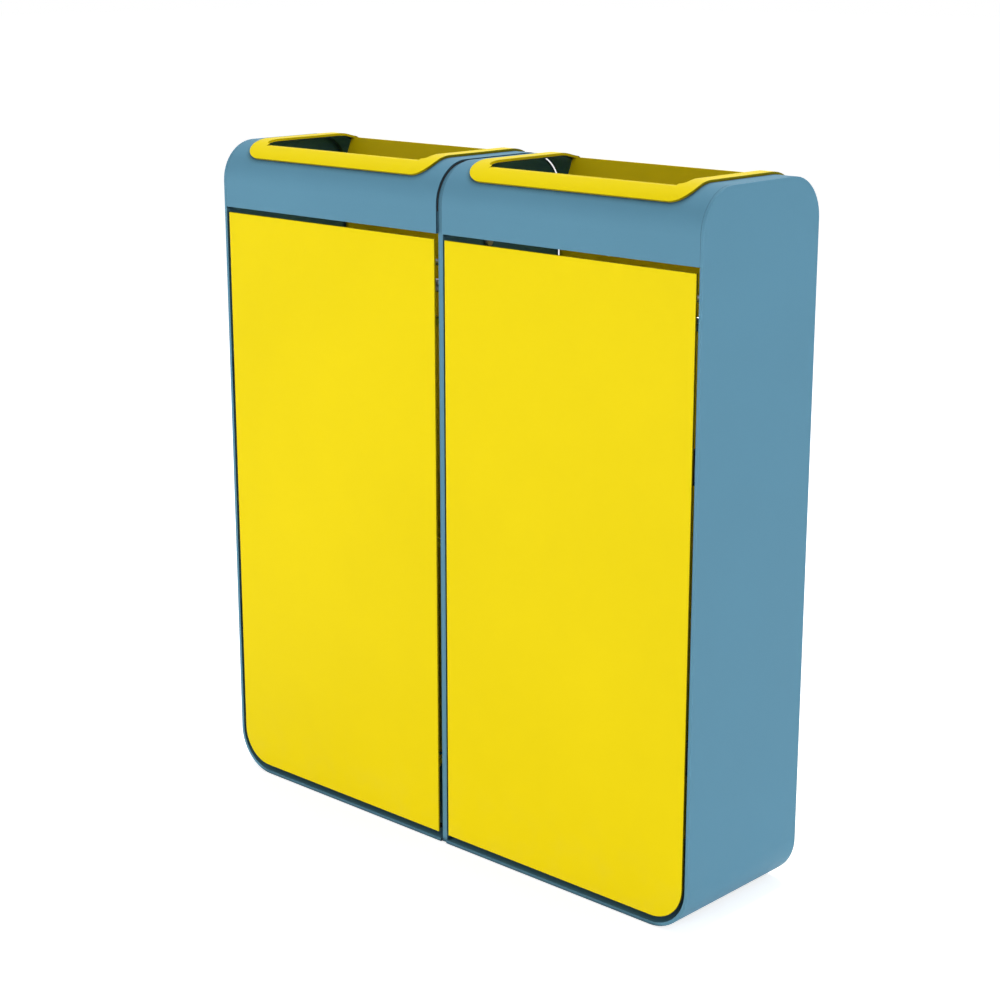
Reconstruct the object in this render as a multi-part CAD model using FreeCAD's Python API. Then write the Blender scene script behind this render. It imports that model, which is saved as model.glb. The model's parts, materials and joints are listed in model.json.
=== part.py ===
import FreeCAD, Part
import math
import os

# Double recycling bin: two slim steel cabinets, mirror images, bolted side to side along
# the plane X = 0. Every shape is made for the right-hand cabinet (X above 0) and mirrored.
# Millimetres. Z is up and 0 on the floor, the doors face -Y, and the origin is the middle
# of the footprint.

V = FreeCAD.Vector

# ---- driving dimensions: cabinet ----------------------------------------------------
WIDTH = 900.0            # both cabinets together
DEPTH = 243.0
TOP = 989.0              # top of the side plates; the chute bezels stand BEZEL_T above
TOP_RADIUS = 58.0        # side view: front and rear top edges
FOOT_RADIUS = 64.0       # front view: outer bottom corner, bent along the whole depth
FOOT_PROUD = 1.0         # rubber pads stand this far below the base plate
SHELL_T = 5.0            # bent plate: outer side, corner and base
INNER_T = 4.4            # flat plate on the joint between the cabinets
RECESS = 3.3             # the inner plates stop short of the outline by this much
SHEET_T = 2.0            # hood, back panel, rails and cleats
SEAM = 0.3               # hairline between hood or back panel and the outer side plate
CENTRE_GAP = 5.5         # from X = 0 to the hood and the back panel
HOOD_BAND = 96.0         # height of the hood's front and rear bands, from its top
HOOD_LIP = 14.0          # folded edge under each band
FINGER_GAP = 7.8         # between the hood and the door, and the same slot behind
SEAL = (3.0, 4.0)        # rubber strip inside the hood: across, and under the sheet
EDGE_ROUND = 0.8         # broken edges of the plates that show
PLATE_FIT = 0.01         # tolerance when an edge is picked by its place

# ---- door ---------------------------------------------------------------------------
DOOR_T = 3.0
DOOR_WIDTH = 430.0
DOOR_HEIGHT = 870.0
DOOR_INSET = 10.0        # from X = 0 to the hinged edge
DOOR_CORNER = 52.0
PAN_X = (34.0, 428.0)    # stiffening pan behind the door
PAN_MARGIN = 14.0
PAN_DEPTH = 15.0
PAN_T = 1.5
PAN_CORNER = 40.0
PAN_SOFT = 6.0           # corner radius of the pan's three square corners

# ---- chute bezel --------------------------------------------------------------------
BEZEL_T = 3.5
BEZEL_WIDTH = 380.0
BEZEL_CORNER = 31.0
BEZEL_STRIP = 23.0       # width of the bezel's side strips
BEZEL_EDGE_DEG = 37.3    # where the bezel starts on the rounded top edge
MOUTH_EDGE_DEG = 66.8    # where the mouth starts on the rounded top edge
MOUTH_CORNER = 9.0
FLANGE_DEPTH = 38.0      # front and rear deflectors, square to the rounded edge
FLANGE_BEND = 6.5        # outer bend radius of the rolled mouth edge
BEND_LEAD_DEG = 5.0      # the rolled strip begins this far before its bend
HOOD_MOUTH_CLEAR = 3.0   # the hole in the hood is wider than the mouth by this, each side
HOOD_MOUTH_HALF = 94.0   # half the depth of that hole
STUD_DEG = 48.5          # place of the bezel's studs on the rounded edge
STUD_LENGTH = 7.5
STUD_OFFSET = 125.0      # from the middle of the mouth
CURVE_GAP = 0.05         # keeps a flat end out of the curved sheet above it

# ---- hinges -------------------------------------------------------------------------
PIVOT_X = 22.0           # hinge axis of the right-hand door
PIVOT_BACK = 10.0        # hinge axis behind the door's face
HINGE_HEIGHTS = (120.0, 450.0, 770.0)
PIN_D = 5.0
BUSH_D = 8.0
PIN_CLEARANCE = 0.05     # radial, pin in its bush and bail eye on its pin
EAR_HALF = 4.0           # half the height of the fixed ear
EAR_GAP = 0.4            # between the fixed ear and the door's ears
EAR_NOSE = 6.0           # radius of the fixed ear round the pin
EAR_T = 3.0
DOOR_EAR_NOSE = 5.5      # radius of the door's ears round the pin
PIN_HEAD = (9.0, 1.6)        # diameter, height
PIN_TAIL = 1.0               # the pin stands out below by this
LEAF_REAR = (-88.0, -60.0)   # Y of the fixed leaf on the inner plate
LEAF_T = 3.0
LEAF_HALF = 20.0
LEAF_SCREWS = (-12.5, 12.5)  # below and above the fixed ear
DOOR_LEAF_X = (12.0, 33.5)
DOOR_LEAF_HALF = 16.0
DOOR_LEAF_T = 2.0

# ---- bag ring and clamp bail --------------------------------------------------------
RING_D = 10.0
RING_Z = 810.0
RING_HALF_DEPTH = 92.0
RING_CORNER = 35.0
RING_REACH = 25.0        # from the side plates to the ring's side rods
RING_BRACKETS = (-40.0, 40.0)    # Y of the brackets on each side plate
RING_BRACKET = (24.0, 28.0)      # width along the rod, height of the leaf
BAIL_D = 8.0
BAIL_PIVOT_Y = 100.0
BAIL_PIN_D = 6.0
BAIL_PIN_HEAD = (11.0, 2.0)
BAIL_EYE_D = 16.0
BAIL_EYE_HALF = 5.0
BAIL_PLATE_HALF = 11.0
BAIL_BOSS_D = 12.0
SOFT_GAP = 0.3           # between bodies that only come close

# ---- catches, fasteners and feet ----------------------------------------------------
CATCH_HEIGHTS = (250.0, 640.0)
CATCH = (14.0, 18.0, 46.0)   # across, deep, high
CATCH_ROUND = 1.5
STRIKE = (9.5, 2.0, 40.0)
STRIKE_GAP = 1.0             # from the stiffening pan to the strike plate
BOLT_D = 8.0
BOLT_HOLE = 8.4
BOLT_HEAD = (13.0, 5.3)      # across flats, height
BOLT_TAIL = 2.0              # a bolt stands out of its nut by this
NUT_8 = (13.0, 6.5)
NUT_4 = (7.0, 3.2)
BOLTS = [(y, z) for z in (60.0, 500.0, 875.0) for y in (-30.0, 70.0)]
PAD_D = 28.0
PAD_STEM_D = 10.0
PAD_HEAD = (15.0, 2.5)
PAD_X = (40.0, 362.0)
PAD_Y = (-92.0, 92.0)
SCREW_D = 4.0
SCREW_HEAD = (8.0, 2.2)
BACK_SCREWS = (110.0, 330.0, 550.0, 770.0)
BACK_SCREW_IN = 12.0         # from the side plate
CLEAT_REACH = 20.0           # both legs of the angle
CLEAT_Z = (80.0, 790.0)
SCREW_END = 4.0              # a screw's end beyond the second sheet

# ---- places worked out from them ----------------------------------------------------
HALF = WIDTH / 2
FRONT = -DEPTH / 2
REAR = DEPTH / 2
BASE = FOOT_PROUD
FLOOR = BASE + SHELL_T
SHELL_IN = HALF - SHELL_T
HOOD_LOW = TOP - HOOD_BAND
DOOR_TOP = HOOD_LOW - FINGER_GAP
DOOR_LOW = DOOR_TOP - DOOR_HEIGHT
DOOR_OUT = DOOR_INSET + DOOR_WIDTH
DOOR_BACK = FRONT + DOOR_T
PANEL_OUT = SHELL_IN - SEAM
MOUTH_MIDDLE = (CENTRE_GAP + PANEL_OUT) / 2
CAVITY_MIDDLE = (INNER_T + SHELL_IN) / 2
ARC_Y = FRONT + TOP_RADIUS
ARC_Z = TOP - TOP_RADIUS
PIVOT_Y = FRONT + PIVOT_BACK
RING_IN = INNER_T + RING_REACH
RING_OUT = SHELL_IN - RING_REACH
BAIL_Z = RING_Z + RING_D / 2 + SOFT_GAP + BAIL_D / 2
MOUTH_X = (
    MOUTH_MIDDLE - BEZEL_WIDTH / 2 + BEZEL_STRIP,
    MOUTH_MIDDLE + BEZEL_WIDTH / 2 - BEZEL_STRIP,
)
STUD_X = (MOUTH_MIDDLE - STUD_OFFSET, MOUTH_MIDDLE + STUD_OFFSET)
HOOD_SCREW_X = (45.0, MOUTH_MIDDLE, 405.0)


# ---- shape helpers ------------------------------------------------------------------
def box(x, y, z):
    """Box between pairs of limits."""
    return Part.makeBox(x[1] - x[0], y[1] - y[0], z[1] - z[0], V(x[0], y[0], z[0]))


def rod(start, end, diameter):
    """Round bar between two points."""
    along = end - start
    return Part.makeCylinder(diameter / 2, along.Length, start, along)


def fuse(shapes):
    """One solid from touching or overlapping shapes."""
    return shapes[0].multiFuse(shapes[1:]).removeSplitter()


def cut_all(shape, tools):
    """Cut every tool from a shape."""
    for tool in tools:
        shape = shape.cut(tool)
    return shape


def outline(points, radii):
    """Closed wire through points, each corner rounded by its own radius."""
    starts, ends, arcs = [], [], []
    for i, radius in enumerate(radii):
        corner = points[i]
        to_last = (points[i - 1] - corner).normalize()
        to_next = (points[(i + 1) % len(points)] - corner).normalize()
        half_angle = to_last.getAngle(to_next) / 2
        reach = radius / math.tan(half_angle)
        starts.append(corner + to_last * reach)
        ends.append(corner + to_next * reach)
        bisector = (to_last + to_next).normalize()
        crown = corner + bisector * (radius / math.sin(half_angle) - radius)
        arcs.append(Part.Arc(starts[-1], crown, ends[-1]).toShape() if radius else None)
    chain = []
    for i, arc in enumerate(arcs):
        if arc:
            chain.append(arc)
        following = starts[(i + 1) % len(points)]
        if ends[i].distanceToPoint(following) > 1e-6:
            chain.append(Part.LineSegment(ends[i], following).toShape())
    return Part.Wire(chain)


def slab(points, radii, along):
    """Solid swept from a rounded outline along a vector."""
    return Part.Face(outline(points, radii)).extrude(along)


def slab_x(yz, radii, x):
    """Outline in the side view, swept across the width."""
    return slab([V(x[0], y, z) for y, z in yz], radii, V(x[1] - x[0], 0, 0))


def slab_y(xz, radii, y):
    """Outline in the front view, swept through the depth."""
    return slab([V(x, y[0], z) for x, z in xz], radii, V(0, y[1] - y[0], 0))


def soften(shape, radius, wanted):
    """Round the edges whose middle point passes a test."""
    middles = [(e, e.valueAt((e.FirstParameter + e.LastParameter) / 2)) for e in shape.Edges]
    return shape.makeFillet(radius, [e for e, middle in middles if wanted(middle)])


def tube(path, diameter):
    """Round rod bent along a wire of lines and tangent arcs."""
    first = path.OrderedEdges[0]
    start = path.OrderedVertexes[0].Point
    heading = first.tangentAt(first.FirstParameter)
    section = Part.Wire(Part.makeCircle(diameter / 2, start, heading))
    return path.makePipeShell([section], True, False)


def hexagon(across_flats, height, foot, along):
    """Hexagonal prism standing on a point."""
    radius = across_flats / math.sqrt(3)
    side = V(0, 0, 1) if abs(along.x) > 0.5 else V(1, 0, 0)
    other = along.cross(side)
    turns = [math.radians(60 * i) for i in range(6)]
    points = [foot + side * (radius * math.cos(t)) + other * (radius * math.sin(t)) for t in turns]
    return slab(points, [0] * 6, along * height)


def front_and_rear(shape):
    """The shape and its mirror image in the plane Y = 0."""
    return [shape, shape.mirror(V(0, 0, 0), V(0, 1, 0))]


def on_both_walls(shape):
    """The shape on the inner plate and its mirror image on the outer plate."""
    return [shape, shape.mirror(V(CAVITY_MIDDLE, 0, 0), V(1, 0, 0))]


# ---- cabinet plates -----------------------------------------------------------------
def side_profile(inset, low, x):
    """The cabinet's side view: square at the bottom, rounded at both top edges."""
    corners = [
        (FRONT + inset, low), (REAR - inset, low),
        (REAR - inset, TOP - inset), (FRONT + inset, TOP - inset),
    ]
    radius = TOP_RADIUS - inset
    return slab_x(corners, [0, 0, radius, radius], x)


def on_outside(point):
    """True on the outside of the bent plate, where it shows."""
    from_bend = math.hypot(point.x - HALF + FOOT_RADIUS, point.z - BASE - FOOT_RADIUS)
    in_bend = point.x > HALF - FOOT_RADIUS and point.z < BASE + FOOT_RADIUS
    on_bend = in_bend and abs(from_bend - FOOT_RADIUS) < PLATE_FIT
    on_face = point.x > HALF - PLATE_FIT or point.z < BASE + PLATE_FIT
    on_rim = abs(point.y) > REAR - PLATE_FIT or point.z > ARC_Z + PLATE_FIT
    return on_rim and (on_bend or on_face)


def outer_shell():
    """Side plate, bent outer corner and base in one plate."""
    section = [
        (INNER_T, BASE), (HALF, BASE), (HALF, TOP),
        (SHELL_IN, TOP), (SHELL_IN, FLOOR), (INNER_T, FLOOR),
    ]
    radii = [0, FOOT_RADIUS, 0, 0, FOOT_RADIUS - SHELL_T, 0]
    plate = slab_y(section, radii, (FRONT, REAR))
    plate = plate.common(side_profile(0, BASE, (0, HALF)))
    plate = soften(plate, EDGE_ROUND, on_outside)
    notch = box((INNER_T, CENTRE_GAP), (FRONT, FRONT + RECESS), (BASE, FLOOR))
    stems = [pad_stem(place) for place in pad_places()]
    return cut_all(plate, front_and_rear(notch) + stems)


def inner_side_panel():
    """Flat plate against the neighbouring cabinet, set back from the outline."""
    plate = side_profile(RECESS, BASE, (0, INNER_T))
    holes = [rod(V(0, y, z), V(INNER_T, y, z), BOLT_HOLE) for y, z in BOLTS]
    return cut_all(plate, holes)


def hood():
    """Folded sheet: front band, rounded top and rear band, with a hole for the chute."""
    inside = TOP_RADIUS - SHEET_T
    section = [
        (FRONT, HOOD_LOW), (FRONT, TOP), (REAR, TOP), (REAR, HOOD_LOW),
        (REAR - SHEET_T, HOOD_LOW), (REAR - SHEET_T, TOP - SHEET_T),
        (FRONT + SHEET_T, TOP - SHEET_T), (FRONT + SHEET_T, HOOD_LOW),
    ]
    radii = [0, TOP_RADIUS, TOP_RADIUS, 0, 0, inside, inside, 0]
    span = (CENTRE_GAP, PANEL_OUT)
    lip = box(span, (FRONT, FRONT + HOOD_LIP), (HOOD_LOW, HOOD_LOW + SHEET_T))
    sheet = fuse([slab_x(section, radii, span)] + front_and_rear(lip))
    wide = (MOUTH_X[0] - HOOD_MOUTH_CLEAR, MOUTH_X[1] + HOOD_MOUTH_CLEAR)
    hole = box(wide, (-HOOD_MOUTH_HALF, HOOD_MOUTH_HALF), (ARC_Z, TOP))
    sheet = soften(sheet, EDGE_ROUND, on_hood_fold).cut(hole)
    return cut_all(sheet, bezel_studs() + hood_screws())


def on_hood_fold(point):
    """True on the folded lower edges of the hood's two bands."""
    return abs(point.y) > REAR - PLATE_FIT and abs(point.z - HOOD_LOW) < PLATE_FIT


def hood_seal():
    """Rubber strip in the corner between the hood and the inner plate, over the front half."""
    x = (INNER_T, INNER_T + SEAL[0])
    strip = side_profile(SHEET_T, BASE, x).cut(side_profile(SHEET_T + SEAL[1], BASE, x))
    rail_top = HOOD_LOW + SHEET_T + 2 * HOOD_LIP
    return strip.common(box(x, (FRONT, 0), (rail_top, TOP)))


def back_panel():
    """Rear sheet between the side plates, under the slot below the hood's rear band."""
    low = FLOOR + SEAM
    corners = [
        (CENTRE_GAP, low), (PANEL_OUT, low), (PANEL_OUT, DOOR_TOP), (CENTRE_GAP, DOOR_TOP),
    ]
    bend = FOOT_RADIUS - SHELL_T - SEAM
    sheet = slab_y(corners, [0, bend, 0, 0], (REAR - SHEET_T, REAR))
    sheet = soften(sheet, EDGE_ROUND, lambda p: p.y > REAR - PLATE_FIT)
    return cut_all(sheet, back_screws())


def rail(side_y):
    """Folded angle behind one of the hood's bands, with a tab on each side plate."""
    wall = (FRONT + SHEET_T, FRONT + 2 * SHEET_T)
    foot = (FRONT + SHEET_T, FRONT + HOOD_LIP + SHEET_T)
    low = HOOD_LOW + SHEET_T
    high = low + 2 * HOOD_LIP
    across = (INNER_T, SHELL_IN)
    tab = box((INNER_T, INNER_T + SHEET_T), foot, (low, high))
    shapes = [box(across, wall, (low, high)), box(across, foot, (low, low + SHEET_T))]
    angle = cut_all(fuse(shapes + on_both_walls(tab)), hood_screws())
    return front_and_rear(angle)[side_y]


def back_cleats():
    """Angles up the two side plates, which the back panel is screwed to."""
    rear = REAR - SHEET_T
    against = box((INNER_T, INNER_T + SHEET_T), (rear - CLEAT_REACH, rear), CLEAT_Z)
    behind = box((INNER_T, INNER_T + CLEAT_REACH), (rear - SHEET_T, rear), CLEAT_Z)
    screws = Part.makeCompound(back_screws())
    return [cleat.cut(screws) for cleat in on_both_walls(fuse([against, behind]))]


# ---- chute bezel --------------------------------------------------------------------
def radial(degrees):
    """Unit vector out of the rounded front top edge, at an angle above the horizontal."""
    angle = math.radians(degrees)
    return V(0, -math.cos(angle), math.sin(angle))


def tangent(degrees):
    """Unit vector along the rounded front top edge, rising to the flat top."""
    angle = math.radians(degrees)
    return V(0, math.sin(angle), math.cos(angle))


def edge_prism(degrees, x, corner):
    """Everything above a cut square to the rounded edge, its two lower corners rounded."""
    depth, height, length = 25.0, 110.0, 140.0
    up, out = tangent(degrees), radial(degrees)
    low = V(x[0], ARC_Y, ARC_Z) - out * depth
    across = V(x[1] - x[0], 0, 0)
    corners = [low, low + across, low + across + up * length, low + up * length]
    return slab(corners, [corner, corner, 0, 0], out * height)


def front_band(x):
    """Sheet lying on the hood, from its rounded front edge back to Y = 0."""
    outer = TOP_RADIUS + BEZEL_T
    across = x[1] - x[0]
    ring = Part.makeCylinder(outer, across, V(x[0], ARC_Y, ARC_Z), V(1, 0, 0))
    ring = ring.cut(Part.makeCylinder(TOP_RADIUS, across, V(x[0], ARC_Y, ARC_Z), V(1, 0, 0)))
    ring = ring.common(box(x, (ARC_Y - outer, ARC_Y), (ARC_Z, ARC_Z + outer)))
    return fuse([ring, box(x, (ARC_Y, 0), (TOP, TOP + BEZEL_T))])


def rolled_lip(x):
    """Front strip of the bezel, rolled over at the mouth and running down as a deflector."""
    outer = TOP_RADIUS + BEZEL_T
    thin = FLANGE_BEND - BEZEL_T
    turn = math.degrees(math.asin(FLANGE_BEND / (outer - FLANGE_BEND)))
    bend_deg = MOUTH_EDGE_DEG - turn
    start_deg = bend_deg - BEND_LEAD_DEG
    mid_deg = (start_deg + bend_deg) / 2
    centre = V(x[0], ARC_Y, ARC_Z)
    out, up = radial(MOUTH_EDGE_DEG), tangent(MOUTH_EDGE_DEG)
    level = math.sqrt((outer - FLANGE_BEND) ** 2 - FLANGE_BEND ** 2)
    bend = centre + out * level - up * FLANGE_BEND
    knee = (radial(bend_deg) + up).normalize()
    bottom = centre + out * (outer - FLANGE_DEPTH)
    before = centre + radial(start_deg) * outer
    begin = centre + radial(bend_deg) * outer
    under = centre + radial(start_deg) * TOP_RADIUS
    under_begin = centre + radial(bend_deg) * TOP_RADIUS
    edges = [
        Part.Arc(before, centre + radial(mid_deg) * outer, begin),
        Part.Arc(begin, bend + knee * FLANGE_BEND, centre + out * level),
        Part.LineSegment(centre + out * level, bottom),
        Part.LineSegment(bottom, bottom - up * BEZEL_T),
        Part.LineSegment(bottom - up * BEZEL_T, centre + out * level - up * BEZEL_T),
        Part.Arc(centre + out * level - up * BEZEL_T, bend + knee * thin, under_begin),
        Part.Arc(under_begin, centre + radial(mid_deg) * TOP_RADIUS, under),
        Part.LineSegment(under, before),
    ]
    face = Part.Face(Part.Wire([edge.toShape() for edge in edges]))
    clear = edge_prism(bend_deg, x, 0)
    return face.extrude(V(x[1] - x[0], 0, 0)), clear


def deflector(x):
    """Flat part of the flange, as wide as the mouth."""
    out, up = radial(MOUTH_EDGE_DEG), tangent(MOUTH_EDGE_DEG)
    bottom = V(x[0], ARC_Y, ARC_Z) + out * (TOP_RADIUS + BEZEL_T - FLANGE_DEPTH)
    top = V(x[0], ARC_Y, ARC_Z) + out * (TOP_RADIUS + BEZEL_T / 3)
    corners = [bottom, top, top - up * BEZEL_T, bottom - up * BEZEL_T]
    return slab(corners, [0, 0, 0, 0], V(x[1] - x[0], 0, 0))


def chute_bezel():
    """Thick frame lying on the hood, its mouth edges rolled down front and rear."""
    x = (MOUTH_MIDDLE - BEZEL_WIDTH / 2, MOUTH_MIDDLE + BEZEL_WIDTH / 2)
    straight = (MOUTH_X[0] + MOUTH_CORNER, MOUTH_X[1] - MOUTH_CORNER)
    sheet = front_band(x).common(edge_prism(BEZEL_EDGE_DEG, x, BEZEL_CORNER))
    sheet = sheet.cut(edge_prism(MOUTH_EDGE_DEG, MOUTH_X, MOUTH_CORNER))
    lip, clear = rolled_lip(straight)
    half = fuse([sheet.cut(clear), lip, deflector(MOUTH_X)])
    return fuse(front_and_rear(half))


def bezel_studs():
    """Threaded studs under the bezel's front and rear strips, where the flanges hide them."""
    studs = []
    for x in STUD_X:
        centre = V(x, ARC_Y, ARC_Z)
        out = radial(STUD_DEG)
        top = centre + out * (TOP_RADIUS - CURVE_GAP)
        stud = rod(top - out * STUD_LENGTH, top, SCREW_D)
        studs += front_and_rear(stud)
    return studs


def bezel_nuts():
    """Nuts that draw the bezel down on the hood."""
    nuts = []
    for x in STUD_X:
        out = radial(STUD_DEG)
        foot = V(x, ARC_Y, ARC_Z) + out * (TOP_RADIUS - SHEET_T - NUT_4[1] - 3 * CURVE_GAP)
        nut = hexagon(NUT_4[0], NUT_4[1], foot, out).cut(rod(foot, foot + out * NUT_4[1], SCREW_D))
        nuts += front_and_rear(nut)
    return nuts


# ---- door ---------------------------------------------------------------------------
def door_skin():
    """Flush front plate with one large rounded corner."""
    corners = [
        (DOOR_INSET, DOOR_LOW), (DOOR_OUT, DOOR_LOW), (DOOR_OUT, DOOR_TOP), (DOOR_INSET, DOOR_TOP),
    ]
    plate = slab_y(corners, [0, DOOR_CORNER, 0, 0], (FRONT, DOOR_BACK))
    return soften(plate, EDGE_ROUND, lambda p: p.y < FRONT + PLATE_FIT)


def pan_block(inset, y):
    """Solid with the outline of the stiffening pan, inset on all sides."""
    low, high = DOOR_LOW + PAN_MARGIN + inset, DOOR_TOP - PAN_MARGIN - inset
    corners = [
        (PAN_X[0] + inset, low), (PAN_X[1] - inset, low),
        (PAN_X[1] - inset, high), (PAN_X[0] + inset, high),
    ]
    radii = [PAN_SOFT, PAN_CORNER - inset, PAN_SOFT, PAN_SOFT]
    return slab_y(corners, radii, y)


def door_stiffener():
    """Shallow folded pan on the back of the door."""
    back = DOOR_BACK + PAN_DEPTH
    pan = soften(pan_block(0, (DOOR_BACK, back)), PAN_T, lambda p: p.y > back - PLATE_FIT)
    return pan.cut(pan_block(PAN_T, (DOOR_BACK, back - PAN_T)))


def strike_plate(z):
    """Steel plate behind the door's free edge, opposite a magnet."""
    near = PAN_X[1] + STRIKE_GAP
    x = (near, near + STRIKE[0])
    return box(x, (DOOR_BACK, DOOR_BACK + STRIKE[1]), (z - STRIKE[2] / 2, z + STRIKE[2] / 2))


def magnet_catch(z):
    """Magnet in its housing on the outer side plate."""
    near = DOOR_BACK + STRIKE[1] + SOFT_GAP
    x = (SHELL_IN - CATCH[0], SHELL_IN)
    block = box(x, (near, near + CATCH[1]), (z - CATCH[2] / 2, z + CATCH[2] / 2))
    return soften(block, CATCH_ROUND, lambda p: p.x < x[0] + PLATE_FIT)


# ---- hinges -------------------------------------------------------------------------
def hinge_bracket(z):
    """Fixed leaf on the inner plate, with an ear that reaches forward to the pin."""
    nose = V(PIVOT_X, PIVOT_Y, z - EAR_HALF)
    ear_x = (PIVOT_X - EAR_NOSE, PIVOT_X + EAR_NOSE)
    level = (z - EAR_HALF, z + EAR_HALF)
    leaf = box((INNER_T, INNER_T + LEAF_T), LEAF_REAR, (z - LEAF_HALF, z + LEAF_HALF))
    shapes = [
        leaf,
        box((INNER_T, ear_x[1]), LEAF_REAR, level),
        box(ear_x, (PIVOT_Y, LEAF_REAR[0]), level),
        Part.makeCylinder(EAR_NOSE, 2 * EAR_HALF, nose),
    ]
    holes = [hinge_screw(z, offset) for offset in LEAF_SCREWS]
    bore = rod(V(PIVOT_X, PIVOT_Y, z - EAR_HALF), V(PIVOT_X, PIVOT_Y, z + EAR_HALF), BUSH_D)
    return cut_all(fuse(shapes), holes + [bore])


def hinge_bush(z):
    """Plain bush pressed into the fixed ear."""
    low, high = V(PIVOT_X, PIVOT_Y, z - EAR_HALF), V(PIVOT_X, PIVOT_Y, z + EAR_HALF)
    return rod(low, high, BUSH_D).cut(rod(low, high, PIN_D + 2 * PIN_CLEARANCE))


def hinge_pin(z):
    """Headed pin through the door's ears and the bush between them."""
    reach = EAR_HALF + EAR_GAP + EAR_T
    top = V(PIVOT_X, PIVOT_Y, z + reach)
    shank = rod(V(PIVOT_X, PIVOT_Y, z - reach - PIN_TAIL), top, PIN_D)
    return fuse([shank, rod(top, top + V(0, 0, PIN_HEAD[1]), PIN_HEAD[0])])


def door_leaf(z):
    """Leaf on the back of the door, with an ear above and below the fixed one."""
    inner = EAR_HALF + EAR_GAP
    nose = (PIVOT_X - DOOR_EAR_NOSE, PIVOT_X + DOOR_EAR_NOSE)
    thick = (DOOR_BACK, DOOR_BACK + DOOR_LEAF_T)
    leaf = box(DOOR_LEAF_X, thick, (z - DOOR_LEAF_HALF, z + DOOR_LEAF_HALF))
    window = box((DOOR_LEAF_X[0], PIVOT_X + EAR_NOSE + 2), thick, (z - inner, z + inner))
    shapes = [leaf.cut(window)]
    for low in (z + inner, z - inner - EAR_T):
        foot = V(PIVOT_X, PIVOT_Y, low)
        shapes.append(Part.makeCylinder(DOOR_EAR_NOSE, EAR_T, foot))
        shapes.append(box(nose, (DOOR_BACK, PIVOT_Y), (low, low + EAR_T)))
    reach = inner + EAR_T
    bore = rod(V(PIVOT_X, PIVOT_Y, z - reach), V(PIVOT_X, PIVOT_Y, z + reach), PIN_D)
    return fuse(shapes).cut(bore)


def hinge_screw(z, offset):
    """Screw through the fixed leaf into the inner plate."""
    y = sum(LEAF_REAR) / 2
    start = V(INNER_T, y, z + offset)
    seat = start + V(LEAF_T, 0, 0)
    head = rod(seat, seat + V(SCREW_HEAD[1], 0, 0), SCREW_HEAD[0])
    return fuse([rod(start, seat, SCREW_D), head])


# ---- bag ring and clamp bail --------------------------------------------------------
def bag_ring():
    """Fixed rod frame that the bag's rim is folded over."""
    corners = [
        V(RING_IN, -RING_HALF_DEPTH, RING_Z), V(RING_OUT, -RING_HALF_DEPTH, RING_Z),
        V(RING_OUT, RING_HALF_DEPTH, RING_Z), V(RING_IN, RING_HALF_DEPTH, RING_Z),
    ]
    return tube(outline(corners, [RING_CORNER] * 4), RING_D)


def ring_bracket(y):
    """Angle on the inner plate that carries the ring from below."""
    level = RING_Z - RING_D / 2
    across = (y - RING_BRACKET[0] / 2, y + RING_BRACKET[0] / 2)
    leaf = box((INNER_T, INNER_T + SHEET_T), across, (level - RING_BRACKET[1], level))
    arm = box((INNER_T, RING_IN + RING_D / 2), across, (level - SHEET_T, level))
    return fuse([leaf, arm])


def bag_bail():
    """Hinged rod that lies on the ring, holds the bag's rim down and lifts from the front."""
    stop = BAIL_PIVOT_Y - BAIL_EYE_D / 2 + 1
    near = -RING_HALF_DEPTH + RING_CORNER
    cut = RING_CORNER * (1 - math.sqrt(0.5))
    inner, outer, front = RING_IN, RING_OUT, -RING_HALF_DEPTH
    corner_in = V(inner + cut, front + cut, BAIL_Z)
    corner_out = V(outer - cut, front + cut, BAIL_Z)
    edges = [
        Part.LineSegment(V(inner, stop, BAIL_Z), V(inner, near, BAIL_Z)),
        Part.Arc(V(inner, near, BAIL_Z), corner_in, V(inner + RING_CORNER, front, BAIL_Z)),
        Part.LineSegment(V(inner + RING_CORNER, front, BAIL_Z), V(outer - RING_CORNER, front, BAIL_Z)),
        Part.Arc(V(outer - RING_CORNER, front, BAIL_Z), corner_out, V(outer, near, BAIL_Z)),
        Part.LineSegment(V(outer, near, BAIL_Z), V(outer, stop, BAIL_Z)),
    ]
    rod_shape = tube(Part.Wire([edge.toShape() for edge in edges]), BAIL_D)
    low = V(RING_IN - BAIL_EYE_HALF, BAIL_PIVOT_Y, BAIL_Z)
    high = V(RING_IN + BAIL_EYE_HALF, BAIL_PIVOT_Y, BAIL_Z)
    eyes = on_both_walls(rod(low, high, BAIL_EYE_D))
    bores = on_both_walls(rod(low, high, BAIL_PIN_D + 2 * PIN_CLEARANCE))
    return cut_all(fuse([rod_shape] + eyes), bores)


def bail_bracket():
    """Plate on the inner side plate with a boss for the bail's pin."""
    face = V(INNER_T, BAIL_PIVOT_Y, BAIL_Z)
    boss_end = V(RING_IN - BAIL_EYE_HALF - EAR_GAP, BAIL_PIVOT_Y, BAIL_Z)
    across = (BAIL_PIVOT_Y - BAIL_PLATE_HALF, BAIL_PIVOT_Y + BAIL_PLATE_HALF)
    level = (BAIL_Z - BAIL_PLATE_HALF, BAIL_Z + BAIL_PLATE_HALF)
    plate = box((INNER_T, INNER_T + LEAF_T), across, level)
    return fuse([plate, rod(face, boss_end, BAIL_BOSS_D)]).cut(rod(face, boss_end, BAIL_PIN_D))


def bail_pin():
    """Headed pin that one of the bail's eyes turns on."""
    start = V(INNER_T, BAIL_PIVOT_Y, BAIL_Z)
    end = V(RING_IN + BAIL_EYE_HALF + EAR_GAP, BAIL_PIVOT_Y, BAIL_Z)
    head = rod(end, end + V(BAIL_PIN_HEAD[1], 0, 0), BAIL_PIN_HEAD[0])
    return fuse([rod(start, end, BAIL_PIN_D), head])


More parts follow.
